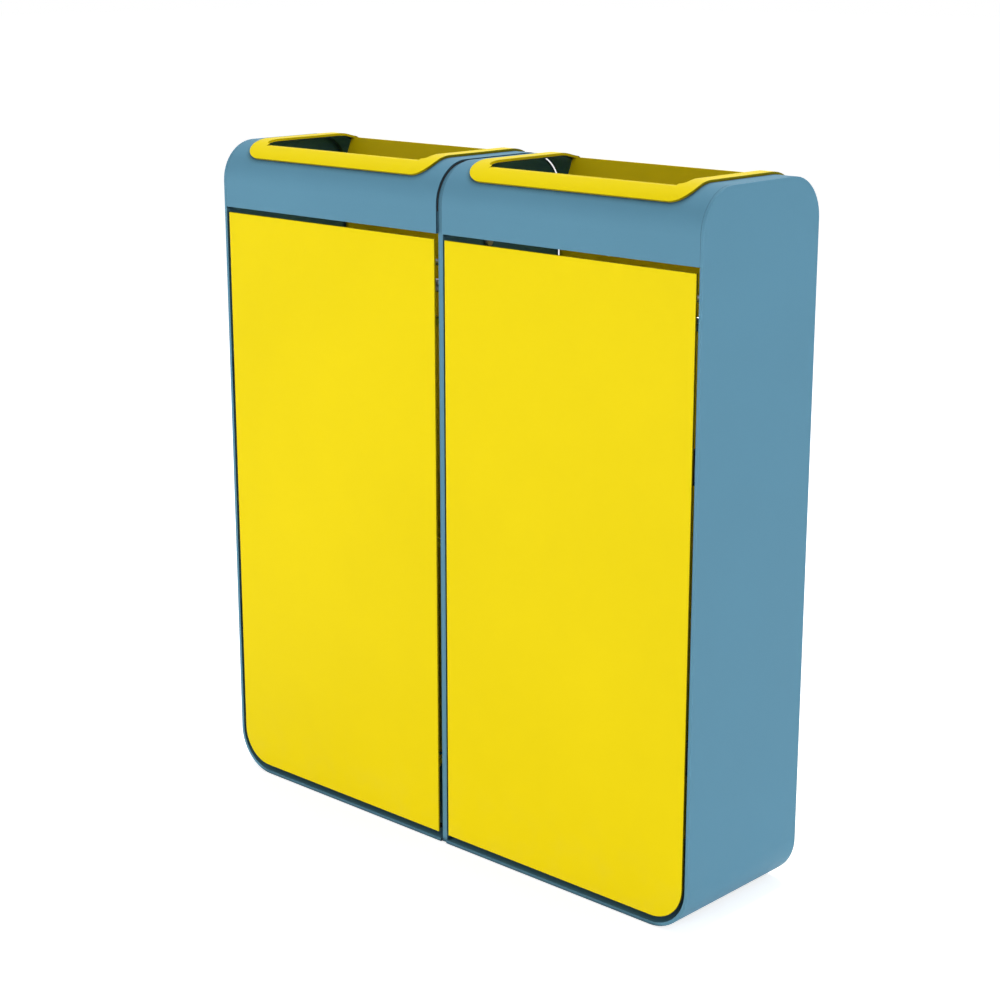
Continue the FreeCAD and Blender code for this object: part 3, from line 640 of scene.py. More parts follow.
class Part:
    """A mesh in the making, built along +Z from its foot at the origin."""

    def __init__(self, mesh: bmesh.types.BMesh | None = None) -> None:
        """Start with an empty mesh or a copied one."""
        self.mesh = mesh or bmesh.new()

    def lathe(self, profile: Sequence[tuple[float, float]], sides: int = 24, closed: bool = False) -> None:
        """Spin a line of (radius, height) points about Z.

        Args:
            profile: the line, from axis to axis, or round a ring's section.
            sides: steps in the full turn.
            closed: join the line's end to its start.
        """
        verts = [self.mesh.verts.new((radius, 0.0, height)) for radius, height in profile]
        pairs = list(zip(verts, verts[1:]))
        if closed:
            pairs.append((verts[-1], verts[0]))
        edges = [self.mesh.edges.new(pair) for pair in pairs]
        bmesh.ops.spin(
            self.mesh, geom=verts + edges, cent=(0, 0, 0), axis=(0, 0, 1),
            angle=FULL_TURN, steps=sides, use_merge=True,
        )
        bmesh.ops.remove_doubles(self.mesh, verts=self.mesh.verts, dist=MERGE)

    def fit(self, verts: Iterable[bmesh.types.BMVert], height: float, reach: Reach) -> None:
        """Move a loop's points outwards or inwards, and to one height.

        Args:
            verts: the points.
            height: their new height.
            reach: their new radius, which may depend on the angle.
        """
        for vert in verts:
            angle = math.atan2(vert.co.y, vert.co.x)
            radius = reach(angle)
            vert.co = (radius * math.cos(angle), radius * math.sin(angle), height)

    def stack(self, loops: Sequence[tuple[float, Reach]], sides: int, closed: bool = False) -> None:
        """Pull a loop through a row of heights and radii.

        Args:
            loops: height and radius of each loop, in order.
            sides: points in each loop.
            closed: join the last loop to the first instead of capping both.
        """
        verts = bmesh.ops.create_circle(self.mesh, cap_ends=False, radius=1.0, segments=sides)["verts"]
        self.fit(verts, *loops[0])
        rim = list({edge for vert in verts for edge in vert.link_edges})
        foot = rim
        made = list(verts)
        for height, reach in [*loops[1:], *([loops[0]] if closed else [])]:
            pulled = bmesh.ops.extrude_edge_only(self.mesh, edges=rim)["geom"]
            fresh = {item for item in pulled if isinstance(item, bmesh.types.BMVert)}
            edges = (item for item in pulled if isinstance(item, bmesh.types.BMEdge))
            rim = [edge for edge in edges if fresh.issuperset(edge.verts)]
            self.fit(fresh, height, reach)
            made += fresh
        if closed:
            bmesh.ops.remove_doubles(self.mesh, verts=made, dist=MERGE)
            return
        for loop in (foot, rim):
            bmesh.ops.contextual_create(self.mesh, geom=loop)

    def thread(self, radius: float, pitch: float, low: float, high: float, depth: float) -> None:
        """Wind a closed triangular ridge round a shank.

        Args:
            radius: radius at the ridge's foot.
            pitch: rise in one turn.
            low, high: heights of its ends.
            depth: how far the ridge stands out.
        """
        turns = max(1.0, (high - low) / pitch)
        half = pitch * RIDGE_HALF
        steps = int(turns * STEPS_A_TURN)
        root = radius - depth * RIDGE_SUNK
        places = ((root, low), (root, low + 2 * half), (radius + depth, low + half))
        verts = [self.mesh.verts.new((x, 0.0, z)) for x, z in places]
        face = self.mesh.faces.new(verts)
        bmesh.ops.spin(
            self.mesh, geom=[face, *face.edges, *verts], cent=(0, 0, 0), axis=(0, 0, 1),
            dvec=(0, 0, (high - low - 2 * half) / steps), angle=FULL_TURN * turns, steps=steps,
        )

    def block(self, low: Sequence[float], high: Sequence[float], bevel: float, segments: int = 2) -> None:
        """Add a box with softened edges.

        Args:
            low, high: its opposite corners.
            bevel: width of the softened edges.
            segments: steps round each of them.
        """
        low, high = Vector(low), Vector(high)
        edges = self.cube((high + low) / 2, high - low)
        bmesh.ops.bevel(
            self.mesh, geom=edges, offset=bevel, segments=segments, profile=0.5, affect="EDGES", material=-1
        )

    def cube(self, centre: Sequence[float], size: Sequence[float]) -> list[bmesh.types.BMEdge]:
        """Add a sharp box.

        Args:
            centre: its middle.
            size: its width, depth and height.

        Returns:
            Its edges.
        """
        place = Matrix.Translation(centre) @ Matrix.Diagonal((*size, 1.0))
        verts = bmesh.ops.create_cube(self.mesh, size=1.0, matrix=place)["verts"]
        return list({edge for vert in verts for edge in vert.link_edges})

    def bar(self, length: float, width: float, height: float) -> None:
        """Add a low bar along X with round ends and a domed back, standing on its flat side.

        Args:
            length, width, height: its sizes.
        """
        edges = self.cube((0, 0, height / 2), (length, width, height))
        upright = [edge for edge in edges if abs(edge.verts[0].co.z - edge.verts[1].co.z) > height / 2]
        bmesh.ops.bevel(
            self.mesh, geom=upright, offset=width * 0.499, segments=8, profile=0.5,
            affect="EDGES", material=-1,
        )
        rim = [
            edge for edge in self.mesh.edges
            if min(vert.co.z for vert in edge.verts) > height * 0.99 and edge.calc_face_angle(0.0) > 1.0
        ]
        bmesh.ops.bevel(
            self.mesh, geom=rim, offset=height * 0.95, segments=4, profile=0.5, affect="EDGES", material=-1
        )

    def bead(self, length: float, radius: float, ripple: float = 1.1 * MM) -> None:
        """Add a weld bead along Z, rippled where each drop set.

        Args:
            length: its length.
            radius: its radius over a ripple.
            ripple: distance from one ripple to the next.
        """
        count = max(4, int(length / ripple) * 2)
        swells = [0.35, *(1.0 if step % 2 else 0.86 for step in range(1, count)), 0.35]
        loops = [(length * step / count, round_reach(radius * swell)) for step, swell in enumerate(swells)]
        self.stack(loops, BEAD_SIDES)

    def take(self, other: "Part", place: Matrix) -> None:
        """Add a copy of another part.

        Args:
            other: the part.
            place: the move that puts it in place.
        """
        copy = bpy.data.meshes.new("copy")
        other.mesh.to_mesh(copy)
        copy.transform(place)
        self.mesh.from_mesh(copy)
        bpy.data.meshes.remove(copy)

    def settle(self, name: str, finish: Finish, body: str, *nodes: str) -> None:
        """Turn the part into a finished piece of the bin.

        Args:
            name: the piece's name.
            finish: its finish.
            body: the body that it rides on.
            nodes: nodes of the construction that it stands for.
        """
        open_edges = [edge for edge in self.mesh.edges if edge.is_boundary]
        bmesh.ops.holes_fill(self.mesh, edges=open_edges, sides=0)
        bmesh.ops.recalc_face_normals(self.mesh, faces=self.mesh.faces)
        mesh = bpy.data.meshes.new(name)
        self.mesh.to_mesh(mesh)
        self.mesh.free()
        mesh.polygons.foreach_set("use_smooth", [True] * len(mesh.polygons))
        mesh.set_sharp_from_angle(angle=SMOOTH_BELOW)
        mesh.materials.append(finish.material())
        piece = add_object(name, mesh)
        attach(piece, body)
        if nodes:
            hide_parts(*nodes)
        LOG.info("%s: %d faces on %s", name, len(mesh.polygons), body)


# ---------------------------------------------------------------------------------------
# Fasteners
# ---------------------------------------------------------------------------------------
class Head(Enum):
    """Shapes of screw head."""

    COUNTERSUNK = "countersunk"
    BUTTON = "button"


@dataclass
class SocketScrew:
    """Screw with a hexagon socket, its head's face at the origin and its shank going down."""

    head: Head
    length: float
    head_width: float = 8.0 * MM
    head_height: float = 2.0 * MM
    shank: float = 4.0 * MM
    socket_flats: float = 2.5 * MM
    socket_depth: float = 1.3 * MM
    thread_depth: float = 0.28 * MM
    pitch: float = 0.7 * MM
    socket_break: float = 0.12 * MM
    rim_break: float = 0.15 * MM
    neck: float = 0.2 * MM
    tip: float = 0.5 * MM
    tip_taper: float = 0.4 * MM
    sides: int = 24

    def face(self) -> list[tuple[float, Reach]]:
        """Return the loops of the socket, from its floor to its broken rim."""
        socket = hex_reach(self.socket_flats)
        wide = hex_reach(self.socket_flats + 2 * self.socket_break)
        return [(-self.socket_depth, socket), (-self.socket_break, socket), (0.0, wide)]

    def outside(self) -> list[tuple[float, Reach]]:
        """Work out the outside of the head.

        Returns:
            Its loops, from the face down.
        """
        rim = self.head_width / 2
        if self.head is Head.COUNTERSUNK:
            rows = [(0.0, rim - self.rim_break), (self.rim_break, rim), (self.head_height, self.shank / 2)]
        else:
            dome = ((0.0, 0.62), (0.16, 0.82), (0.45, 0.96), (0.78, 1.0), (1.0, 0.97), (1.0, 0.5))
            rows = [(self.head_height * drop, rim * share) for drop, share in dome]
        return [(-drop, round_reach(radius)) for drop, radius in rows]

    def build(self) -> Part:
        """Make the head with its socket, then the threaded shank.

        Returns:
            The screw.
        """
        part = Part()
        core = self.shank / 2 - self.thread_depth
        shank = [
            (-self.head_height - self.neck, round_reach(core)),
            (-self.length + self.tip, round_reach(core)),
            (-self.length, round_reach(core - self.tip_taper)),
        ]
        part.stack(self.face() + self.outside() + shank, self.sides)
        top = -self.head_height - self.neck / 2
        part.thread(core, self.pitch, -self.length + self.tip_taper, top, self.thread_depth)
        return part


@dataclass
class HexPart:
    """Hexagon nut or bolt head with chamfered corners, standing on its bearing face."""

    flats: float
    height: float
    bore: float = 0.0
    mouth: float = 0.35 * MM
    face_share: float = 0.475
    chamfer_deg: float = 30.0
    sides: int = 36

    def build(self) -> Part:
        """Make the hexagon, with a hole if it has a bore.

        Returns:
            The nut or the head.
        """
        part = Part()
        corner = self.flats / math.sqrt(3)
        face = self.flats * self.face_share
        drop = (corner - face) * math.tan(math.radians(self.chamfer_deg))
        rows = [(0.0, face), (drop * 0.5, (corner + face) / 2), (drop, corner)]
        loops = [(height, hex_reach(self.flats, limit)) for height, limit in rows]
        loops += [(self.height - height, hex_reach(self.flats, limit)) for height, limit in reversed(rows)]
        if self.bore:
            inner, wide = self.bore / 2, self.bore / 2 + self.mouth
            rows = [(self.height, wide), (self.height - self.mouth, inner), (self.mouth, inner), (0.0, wide)]
            loops += [(height, round_reach(radius)) for height, radius in rows]
        part.stack(loops, self.sides, closed=bool(self.bore))
        return part


@dataclass
class ThreadedRod:
    """Threaded end of a stud or bolt along +Z, with a broken tip."""

    width: float
    length: float
    pitch: float
    depth: float
    plain: float = 0.0
    sides: int = 24

    def build(self) -> Part:
        """Make the plain length, the core and the thread round it.

        Returns:
            The rod.
        """
        part = Part()
        core = self.width / 2 - self.depth
        start = self.plain + self.depth
        loops = [(0.0, round_reach(self.width / 2 if self.plain else core))]
        if self.plain:
            loops.append((self.plain, round_reach(self.width / 2)))
        loops += [
            (start, round_reach(core)),
            (self.length - self.depth, round_reach(core)),
            (self.length, round_reach(core - self.depth)),
        ]
        part.stack(loops, self.sides)
        part.thread(core, self.pitch, start, self.length - self.depth, self.depth)
        return part


@dataclass
class Fasteners:
    """Every screw, stud, bolt and nut, each where the construction has it."""

    button_height: float = 2.2 * MM
    stud_deg: float = 48.5
    stud_length: float = 7.5 * MM
    stud_width: float = 4.0 * MM
    stud_pitch: float = 0.7 * MM
    stud_thread: float = 0.28 * MM
    stud_nut: HexPart = field(default_factory=lambda: HexPart(7.0 * MM, 3.2 * MM, 4.0 * MM))
    bolt_width: float = 8.0 * MM
    bolt_pitch: float = 1.25 * MM
    bolt_thread: float = 0.5 * MM
    bolt_plain: float = 7.0 * MM
    bolt_head: HexPart = field(default_factory=lambda: HexPart(13.0 * MM, 5.3 * MM))
    bolt_nut: HexPart = field(default_factory=lambda: HexPart(13.0 * MM, 6.5 * MM, 8.0 * MM))

    def build(self) -> None:
        """Make the fasteners of both cabinets and the ones between them."""
        for side, way in RIGHT_AND_LEFT:
            self.screws(f"back_screws_{side}", "panel_screws", Head.COUNTERSUNK, (0, 1, 0))
            self.screws(f"hood_screws_{side}", "hood_lip_screws", Head.COUNTERSUNK, (0, 0, -1))
            self.screws(f"hinge_screws_{side}", "hinge_leaf_screws", Head.BUTTON, (way, 0, 0))
            self.studs(side)
        self.joining()

    def screws(self, node: str, name: str, head: Head, way: Sequence[float]) -> None:
        """Replace one node of screws.

        Args:
            node: the node's name, which ends in its side.
            name: the new piece's name, before its side.
            head: shape of the heads.
            way: direction that the heads face.
        """
        group = Part()
        out = Vector(way)
        for low, high in islands(node):
            length = abs((high - low) @ out)
            screw = SocketScrew(head, length)
            if head is Head.BUTTON:
                screw.head_height = self.button_height
            group.take(screw.build(), stand(middle((low, high)) + out * length / 2, out))
        side = node.rsplit("_", 1)[1]
        group.settle(f"{name}_{side}", ZINC, "cabinet", node)

    def studs(self, side: str) -> None:
        """Replace the studs under the chute bezel, and their nuts.

        Args:
            side: the cabinet's side.
        """
        tilt = math.radians(self.stud_deg)
        stud = ThreadedRod(self.stud_width, self.stud_length, self.stud_pitch, self.stud_thread)
        rows = (
            ("bezel_studs", "threaded_studs", stud.build(), self.stud_length),
            ("bezel_nuts", "stud_nuts", self.stud_nut.build(), self.stud_nut.height),
        )
        for node, name, made, length in rows:
            group = Part()
            for pair in islands(f"{node}_{side}"):
                centre = middle(pair)
                down = Vector((0, -math.copysign(math.cos(tilt), centre.y), -math.sin(tilt)))
                group.take(made, stand(centre - down * length / 2, down))
            group.settle(f"{name}_{side}", ZINC, "cabinet", f"{node}_{side}")

    def joining(self) -> None:
        """Replace the bolts that hold the two cabinets together, and their nuts."""
        bolts, nuts = Part(), Part()
        head = self.bolt_head.build()
        for low, high in islands("joining_bolts"):
            centre = middle((low, high))
            seat = Vector((high.x - self.bolt_head.height, centre.y, centre.z))
            length = seat.x - low.x
            shank = ThreadedRod(self.bolt_width, length, self.bolt_pitch, self.bolt_thread, self.bolt_plain)
            bolts.take(head, stand(seat, (1, 0, 0)))
            bolts.take(shank.build(), stand(seat, (-1, 0, 0)))
        nut = self.bolt_nut.build()
        for low, high in islands("joining_nuts"):
            centre = middle((low, high))
            nuts.take(nut, stand(Vector((low.x, centre.y, centre.z)), (1, 0, 0)))
        bolts.settle("hex_bolts", ZINC, "cabinet", "joining_bolts")
        nuts.settle("hex_nuts", ZINC, "cabinet", "joining_nuts")


# ---------------------------------------------------------------------------------------
# Doors and their hardware
# ---------------------------------------------------------------------------------------
@dataclass
class DoorHardware:
    """Hinge pins and bushes, catches, and the ribs pressed into the door's inner pan."""

    pin_radius: float = 2.5 * MM
    pin_head_radius: float = 4.5 * MM
    pin_head: float = 1.6 * MM
    pin_tip: float = 0.6 * MM
    bush_bore: float = 2.55 * MM
    bush_chamfer: float = 0.3 * MM
    housing_bevel: float = 1.2 * MM
    housing_back: float = 0.6 * MM
    screw_stand: float = 1.2 * MM
    screw_back: float = 3.0 * MM
    screw_rise: float = 14.0 * MM
    pole: tuple[float, float, float] = (1.5 * MM, 9.0 * MM, 34.0 * MM)
    pole_gap: float = 5.0 * MM
    pole_bevel: float = 0.3 * MM
    strike_bevel: float = 0.5 * MM
    strike_screw_rise: float = 12.0 * MM
    proud: float = 0.06 * MM
    rib_width: float = 22.0 * MM
    rib_height: float = 1.2 * MM
    rib_margin: float = 75.0 * MM
    rib_sunk: float = 0.02 * MM
    rib_count: int = 3

    def build(self) -> None:
        """Make the hardware of both doors."""
        for side, way in RIGHT_AND_LEFT:
            self.pins(side)
            self.bushes(side)
            self.strikes(side)
            self.catches(side, way)
            self.ribs(side)

    def housing_screw(self) -> SocketScrew:
        """Return the button-headed screw of a catch housing."""
        return SocketScrew(
            Head.BUTTON, length=5.0 * MM, head_width=6.0 * MM, head_height=self.screw_stand,
            shank=3.0 * MM, socket_flats=2.0 * MM, socket_depth=0.8 * MM,
        )

    def strike_screw(self) -> SocketScrew:
        """Return the small flush screw of a strike plate."""
        return SocketScrew(
            Head.COUNTERSUNK, length=1.6 * MM, head_width=5.0 * MM, head_height=0.8 * MM,
            shank=2.6 * MM, socket_flats=1.6 * MM, socket_depth=0.6 * MM,
        )

    def pins(self, side: str) -> None:
        """Replace the hinge pins: domed head, plain shank, chamfered tip.

        Args:
            side: the cabinet's side.
        """
        group = Part()
        for low, high in islands(f"hinge_pins_{side}"):
            length = high.z - low.z
            seat = length - self.pin_head
            radius, rim, tip = self.pin_radius, self.pin_head_radius, self.pin_tip
            dome = [(rim * 0.88, 0.55), (rim * 0.62, 0.18), (rim * 0.3, 0.03), (0.0, 0.0)]
            pin = Part()
            pin.lathe([
                (0.0, 0.0), (radius - tip, 0.0), (radius, tip), (radius, seat),
                (rim - 0.2 * MM, seat), (rim, seat + 0.2 * MM), (rim, seat + 0.6 * MM),
                *((reach, length - drop * MM) for reach, drop in dome),
            ])
            centre = middle((low, high))
            group.take(pin, Matrix.Translation((centre.x, centre.y, low.z)))
        group.settle(f"domed_hinge_pins_{side}", ZINC, f"door_{side}", f"hinge_pins_{side}")

    def bushes(self, side: str) -> None:
        """Replace the plain bushes, with a chamfer at each end of the bore.

        Args:
            side: the cabinet's side.
        """
        group = Part()
        for low, high in islands(f"hinge_bushes_{side}"):
            height, outer, cut = high.z - low.z, (high.x - low.x) / 2, self.bush_chamfer
            bush = Part()
            bush.lathe([
                (self.bush_bore + cut, 0.0), (outer, 0.0), (outer, height), (self.bush_bore + cut, height),
                (self.bush_bore, height - cut), (self.bush_bore, cut),
            ], closed=True)
            centre = middle((low, high))
            group.take(bush, Matrix.Translation((centre.x, centre.y, low.z)))
        group.settle(f"hinge_sleeves_{side}", NATURAL, "cabinet", f"hinge_bushes_{side}")

    def strikes(self, side: str) -> None:
        """Replace the strike plates, each held by two flush screws.

        Args:
            side: the cabinet's side.
        """
        group = Part()
        screw = self.strike_screw().build()
        for low, high in islands(f"strike_plates_{side}"):
            group.block(low, high, self.strike_bevel)
            centre = middle((low, high))
            for rise in (-self.strike_screw_rise, self.strike_screw_rise):
                group.take(screw, stand(Vector((centre.x, high.y + self.proud, centre.z + rise)), (0, 1, 0)))
        group.settle(f"catch_strikes_{side}", ZINC, f"door_{side}", f"strike_plates_{side}")

    def catches(self, side: str, way: int) -> None:
        """Replace the magnet catches: black housing, two steel poles and two screws each.

        Args:
            side: the cabinet's side.
            way: 1 for the right-hand cabinet and -1 for the left-hand one.
        """
        housings, steel = Part(), Part()
        screw = self.housing_screw().build()
        for low, high in islands(f"magnet_catches_{side}"):
            centre = middle((low, high))
            inner = low.x if way > 0 else high.x
            wall = high.x if way > 0 else low.x
            face = inner + way * self.screw_stand
            span = sorted((face, wall))
            housings.block(
                (span[0], low.y + self.housing_back, low.z), (span[1], high.y, high.z), self.housing_bevel, 3
            )
            for offset in (-self.pole_gap / 2, self.pole_gap / 2):
                across = (span[0] + span[1]) / 2 + offset
                steel.block(
                    (across - self.pole[0] / 2, low.y, centre.z - self.pole[2] / 2),
                    (across + self.pole[0] / 2, low.y + self.pole[1], centre.z + self.pole[2] / 2),
                    self.pole_bevel,
                )
            for rise in (-self.screw_rise, self.screw_rise):
                seat = Vector((inner, centre.y + self.screw_back, centre.z + rise))
                steel.take(screw, stand(seat, (-way, 0, 0)))
        housings.settle(f"catch_housings_{side}", BLACK, "cabinet", f"magnet_catches_{side}")
        steel.settle(f"catch_poles_and_screws_{side}", ZINC, "cabinet")

    def ribs(self, side: str) -> None:
        """Add shallow upright ribs to the back of the door's pan.

        Args:
            side: the cabinet's side.
        """
        low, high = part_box(f"door_stiffener_{side}")
        length = high.z - low.z - 2 * self.rib_margin
        centre = middle((low, high))
        group = Part()
        rib = Part()
        rib.bar(length, self.rib_width, self.rib_height)
        pitch = (high.x - low.x) / (self.rib_count + 1)
        turn = Matrix(((0, 1, 0, 0), (0, 0, 1, 0), (1, 0, 0, 0), (0, 0, 0, 1)))
        for index in range(self.rib_count):
            foot = Vector((low.x + pitch * (index + 1), high.y - self.rib_sunk, centre.z))
            group.take(rib, Matrix.Translation(foot) @ turn)
        group.settle(f"door_pan_ribs_{side}", YELLOW, f"door_{side}")


# ---------------------------------------------------------------------------------------
# Bag frame, brackets and feet
# ---------------------------------------------------------------------------------------
@dataclass
class Ironmongery:
    """Brackets, leaves, cleats and rails with broken edges, and the weld beads between them."""

    edge: float = 0.35 * MM
    sharp_deg: float = 40.0
    flat_deg: float = 1.0
    weld: float = 1.5 * MM
    weld_share: float = 0.8
    weld_rise: float = 0.25
    weld_spread: float = 0.62
    ring_radius: float = 5.0 * MM
    bail_radius: float = 4.0 * MM
    eye_half: float = 5.0 * MM
    eye_radius: float = 8.0 * MM
    collar_back: float = 0.6 * MM
    pieces: tuple[tuple[str, str, str], ...] = (
        ("hinge_brackets", "fixed_leaves", "cabinet"),
        ("door_hinge_leaves", "door_leaves", "door"),
        ("ring_brackets", "ring_angles", "cabinet"),
        ("bail_brackets", "bail_bosses", "cabinet"),
        ("back_cleats", "panel_angles", "cabinet"),
        ("front_rail", "front_folded_rail", "cabinet"),
        ("rear_rail", "rear_folded_rail", "cabinet"),
    )

    def build(self) -> None:
        """Make both sides' pieces and welds."""
        for side, _ in RIGHT_AND_LEFT:
            for node, name, body in self.pieces:
                self.broken(f"{node}_{side}", f"{name}_{side}", f"door_{side}" if body == "door" else body)
            self.ring_welds(side)
            self.bail_welds(side)

    def broken(self, node: str, name: str, body: str) -> None:
        """Replace a node by a copy with its sharp edges broken.

        Args:
            node: the node's name.
            name: the new piece's name.
            body: the body that it rides on.
        """
        part = Part(joined_copy(node))
        shape = part.mesh
        bmesh.ops.dissolve_limit(
            shape, angle_limit=math.radians(self.flat_deg), verts=shape.verts, edges=shape.edges,
            delimit={"NORMAL"},
        )
        limit = math.radians(self.sharp_deg)
        sharp = [edge for edge in shape.edges if edge.is_manifold and edge.calc_face_angle(0.0) > limit]
        bmesh.ops.bevel(
            shape, geom=sharp, offset=self.edge, segments=2, profile=0.5, affect="EDGES", material=-1,
            clamp_overlap=True,
        )
        slot = next(row["material_slot"] for row in frame["record"]["subparts"] if row["node"] == node)
        part.settle(name, FINISHES[slot], body, node)

    def ring_welds(self, side: str) -> None:
        """Add a weld bead on both sides of the ring's rod on every bracket.

        Args:
            side: the cabinet's side.
        """
        low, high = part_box(f"bag_ring_{side}")
        group = Part()
        for bracket in islands(f"ring_brackets_{side}"):
            near_low = abs(bracket[0].x - low.x) < abs(bracket[1].x - high.x)
            rod_x = low.x + self.ring_radius if near_low else high.x - self.ring_radius
            length = (bracket[1].y - bracket[0].y) * self.weld_share
            start_y = (bracket[0].y + bracket[1].y - length) / 2
            bead = Part()
            bead.bead(length, self.weld)
            level = bracket[1].z + self.weld * self.weld_rise
            for spread in (-self.weld_spread, self.weld_spread):
                foot = Vector((rod_x + spread * self.ring_radius, start_y, level))
                group.take(bead, stand(foot, (0, 1, 0)))
        group.settle(f"ring_weld_beads_{side}", ZINC, "cabinet")

    def bail_welds(self, side: str) -> None:
        """Add a weld bead where each end of the bail's rod meets its eye.

        Args:
            side: the cabinet's side.
        """
        group = Part()
        collar = Part()
        radius = self.bail_radius
        collar.lathe([
            (radius - 0.3 * MM, 0.0), (radius + 0.9 * MM, 0.3 * MM), (radius + 1.2 * MM, 1.3 * MM),
            (radius + 0.8 * MM, 2.3 * MM), (radius - 0.3 * MM, 2.6 * MM),
        ], closed=True)
        low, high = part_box(f"bag_bail_{side}")
        back = high.y - 2 * self.eye_radius - self.collar_back
        for x in (low.x + self.eye_half, high.x - self.eye_half):
            group.take(collar, stand(Vector((x, back, (low.z + high.z) / 2)), (0, 1, 0)))
        group.settle(f"bail_weld_collars_{side}", ZINC, f"clamp_{side}")


@dataclass
class FootPads:
    """Turned rubber pads with a grooved tread, pushed through the base plate."""

    proud: float = 1.0 * MM
    stem_radius: float = 5.0 * MM
    head_radius: float = 7.5 * MM
    head_height: float = 2.5 * MM
    groove: float = 0.4 * MM
    groove_radii: tuple[float, ...] = (3.0 * MM, 6.0 * MM, 9.0 * MM, 12.0 * MM)
    groove_half: float = 0.5 * MM
    groove_slope: float = 0.1 * MM
    tread_break: float = 0.3 * MM
    edge_break: float = 0.15 * MM
    head_straight: float = 0.8 * MM
    head_taper: float = 1.2 * MM
    sides: int = 40

    def build(self) -> None:
        """Make the pads of both cabinets."""
        for side, _ in RIGHT_AND_LEFT:
            group = Part()
            for low, high in islands(f"foot_pads_{side}"):
                pad = self.pad((high.x - low.x) / 2, high.z - low.z)
                centre = middle((low, high))
                group.take(pad, Matrix.Translation((centre.x, centre.y, low.z)))
            group.settle(f"grooved_pads_{side}", RUBBER, "cabinet", f"foot_pads_{side}")

    def pad(self, radius: float, height: float) -> Part:
        """Turn one pad.

        Args:
            radius: radius of its disc.
            height: its whole height.

        Returns:
            The pad, standing on its tread.
        """
        profile = [(0.0, 0.0)]
        for middle_radius in self.groove_radii:
            near, far = middle_radius - self.groove_half, middle_radius + self.groove_half
            slope = self.groove_slope
            profile += [(near, 0.0), (near + slope, self.groove), (far - slope, self.groove), (far, 0.0)]
        seat = height - self.head_height
        profile += [
            (radius - self.tread_break, 0.0), (radius, self.tread_break),
            (radius, self.proud - self.edge_break), (radius - self.edge_break, self.proud),
            (self.stem_radius, self.proud), (self.stem_radius, seat), (self.head_radius, seat),
            (self.head_radius, seat + self.head_straight),
            (self.head_radius - self.head_taper, height), (0.0, height),
        ]
        pad = Part()
        pad.lathe(profile, self.sides)
        return pad


# ---------------------------------------------------------------------------------------
# Studio
# ---------------------------------------------------------------------------------------
@dataclass(frozen=True)
class Viewpoint:
    """Camera of the photograph, solved from the object's own edges."""

    place: Vector = field(default_factory=lambda: Vector((1.9908, -2.1373, 1.2773)))
    yaw_deg: float = 42.969
    pitch_deg: float = 14.971
    lens_mm: float = 75.35
    sensor_mm: float = 36.0

    def build(self) -> None:
        """Make the camera and use it."""
        data = bpy.data.cameras.new("photo_camera")
        data.lens = self.lens_mm
        data.sensor_width = self.sensor_mm
        data.clip_end = 100.0
        camera = add_object("photo_camera", data)
        camera.location = self.place
        tilt = math.radians(90.0 - self.pitch_deg)
        camera.rotation_euler = (tilt, 0.0, math.radians(self.yaw_deg))
        bpy.context.scene.camera = camera


@dataclass(frozen=True)
class Lamp:
    """Soft square lamp that looks at a point."""

    name: str
    place: tuple[float, float, float]
    size: float
    watts: float
    target: tuple[float, float, float] = (0.0, 0.0, 0.5)

    def build(self) -> None:
        """Make the lamp."""
        data = bpy.data.lights.new(self.name, "AREA")
        data.shape = "SQUARE"
        data.size = self.size
        data.energy = self.watts
        lamp = add_object(self.name, data)
        lamp.location = self.place
        look = Vector(self.target) - Vector(self.place)
        lamp.rotation_euler = look.to_track_quat("-Z", "Y").to_euler()


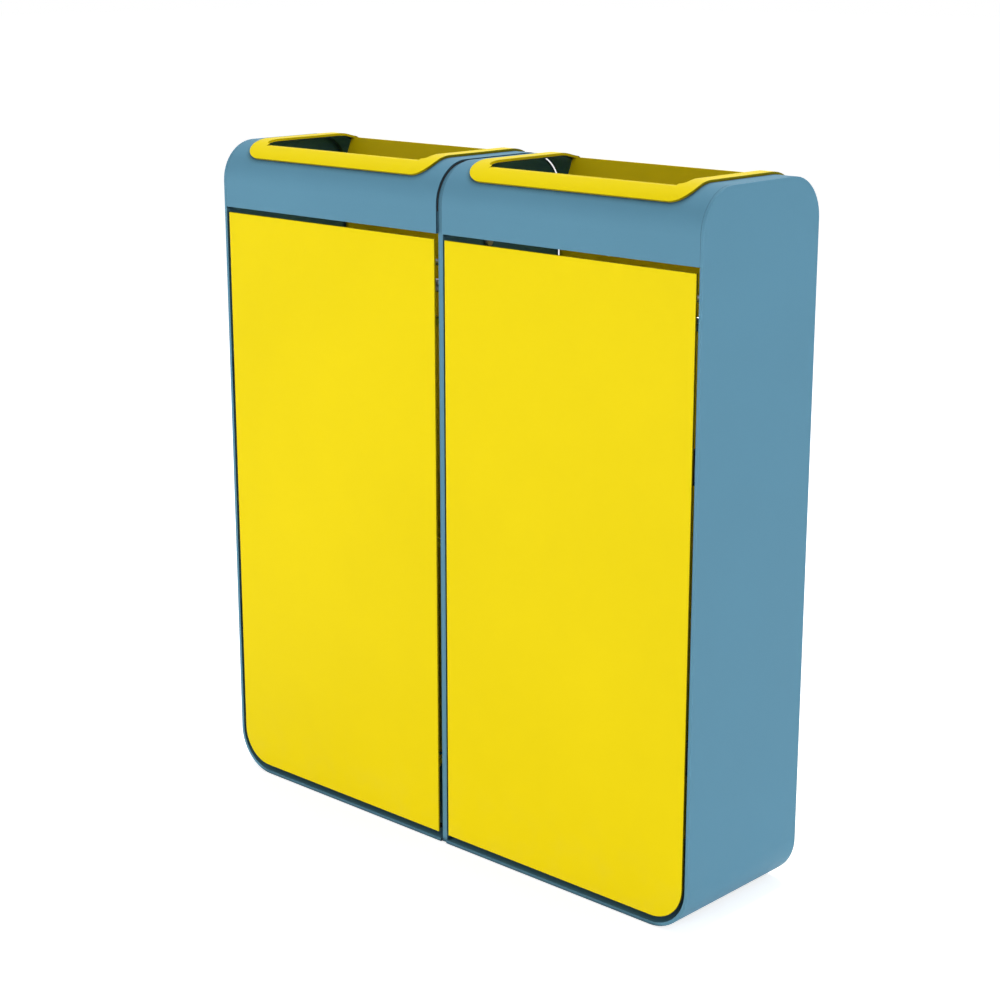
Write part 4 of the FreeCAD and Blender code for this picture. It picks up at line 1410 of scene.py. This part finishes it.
@dataclass
class Studio:
    """White room with a pale floor and plain soft light."""

    floor_half: float = 30.0
    floor_colour: float = 0.80
    floor_lift: float = 0.745
    ambient: float = 0.34
    lamps: tuple[Lamp, ...] = (
        Lamp("front_lamp", (-0.6, -4.8, 0.38), 1.4, 146.0),
        Lamp("side_lamp", (5.1, -0.2, 0.38), 1.4, 135.0),
        Lamp("far_side_lamp", (-5.1, -0.2, 0.38), 1.4, 80.0),
        Lamp("top_lamp", (0.0, 1.7, 4.4), 1.4, 122.0),
    )

    def world(self) -> None:
        """Even light, white where the camera or a reflection sees it."""
        world = bpy.data.worlds.new("studio_world")
        world.use_nodes = True
        bpy.context.scene.world = world
        graph = Graph(world.node_tree)
        back = world.node_tree.nodes["Background"]
        path = graph.add("ShaderNodeLightPath")
        seen = graph.math("MAXIMUM", path.outputs["Is Camera Ray"], path.outputs["Is Glossy Ray"])
        seen = graph.math("MAXIMUM", seen, path.outputs["Is Transmission Ray"])
        back.inputs["Color"].default_value = (1.0, 1.0, 1.0, 1.0)
        graph.feed(back.inputs["Strength"], graph.ramp(seen, 0.0, 1.0, self.ambient, 1.0))

    def floor(self) -> None:
        """Pale floor that goes white in view and keeps the bin's shadow."""
        mesh = bpy.data.meshes.new("floor")
        shape = bmesh.new()
        bmesh.ops.create_grid(shape, x_segments=1, y_segments=1, size=self.floor_half)
        shape.to_mesh(mesh)
        shape.free()
        floor = add_object("floor", mesh)
        material = bpy.data.materials.new("Pale floor")
        material.use_nodes = True
        graph = Graph(material.node_tree)
        shader = material.node_tree.nodes["Principled BSDF"]
        shader.inputs["Base Color"].default_value = (self.floor_colour,) * 3 + (1.0,)
        shader.inputs["Roughness"].default_value = 1.0
        shader.inputs["Specular IOR Level"].default_value = 0.0
        path = graph.add("ShaderNodeLightPath")
        seen = graph.math("MAXIMUM", path.outputs["Is Camera Ray"], path.outputs["Is Glossy Ray"])
        glow = graph.add("ShaderNodeEmission", Color=(1.0, 1.0, 1.0))
        graph.feed(glow.inputs["Strength"], graph.math("MULTIPLY", seen, self.floor_lift))
        both = graph.tree.nodes.new("ShaderNodeAddShader")
        graph.feed(both.inputs[0], shader.outputs["BSDF"])
        graph.feed(both.inputs[1], glow.outputs["Emission"])
        graph.feed(material.node_tree.nodes["Material Output"].inputs["Surface"], both.outputs[0])
        mesh.materials.append(material)

    def build(self) -> None:
        """Make the room, its floor and its lamps."""
        bpy.context.scene.view_settings.view_transform = "Standard"
        self.world()
        self.floor()
        for lamp in self.lamps:
            lamp.build()


def main() -> None:
    """Build the studio and dress the bin."""
    logging.basicConfig(level=logging.INFO, format="%(message)s")
    Viewpoint().build()
    Studio().build()
    dress_frame()
    for assembly in (Fasteners(), DoorHardware(), Ironmongery(), FootPads()):
        assembly.build()


if __name__ == "__main__":
    main()
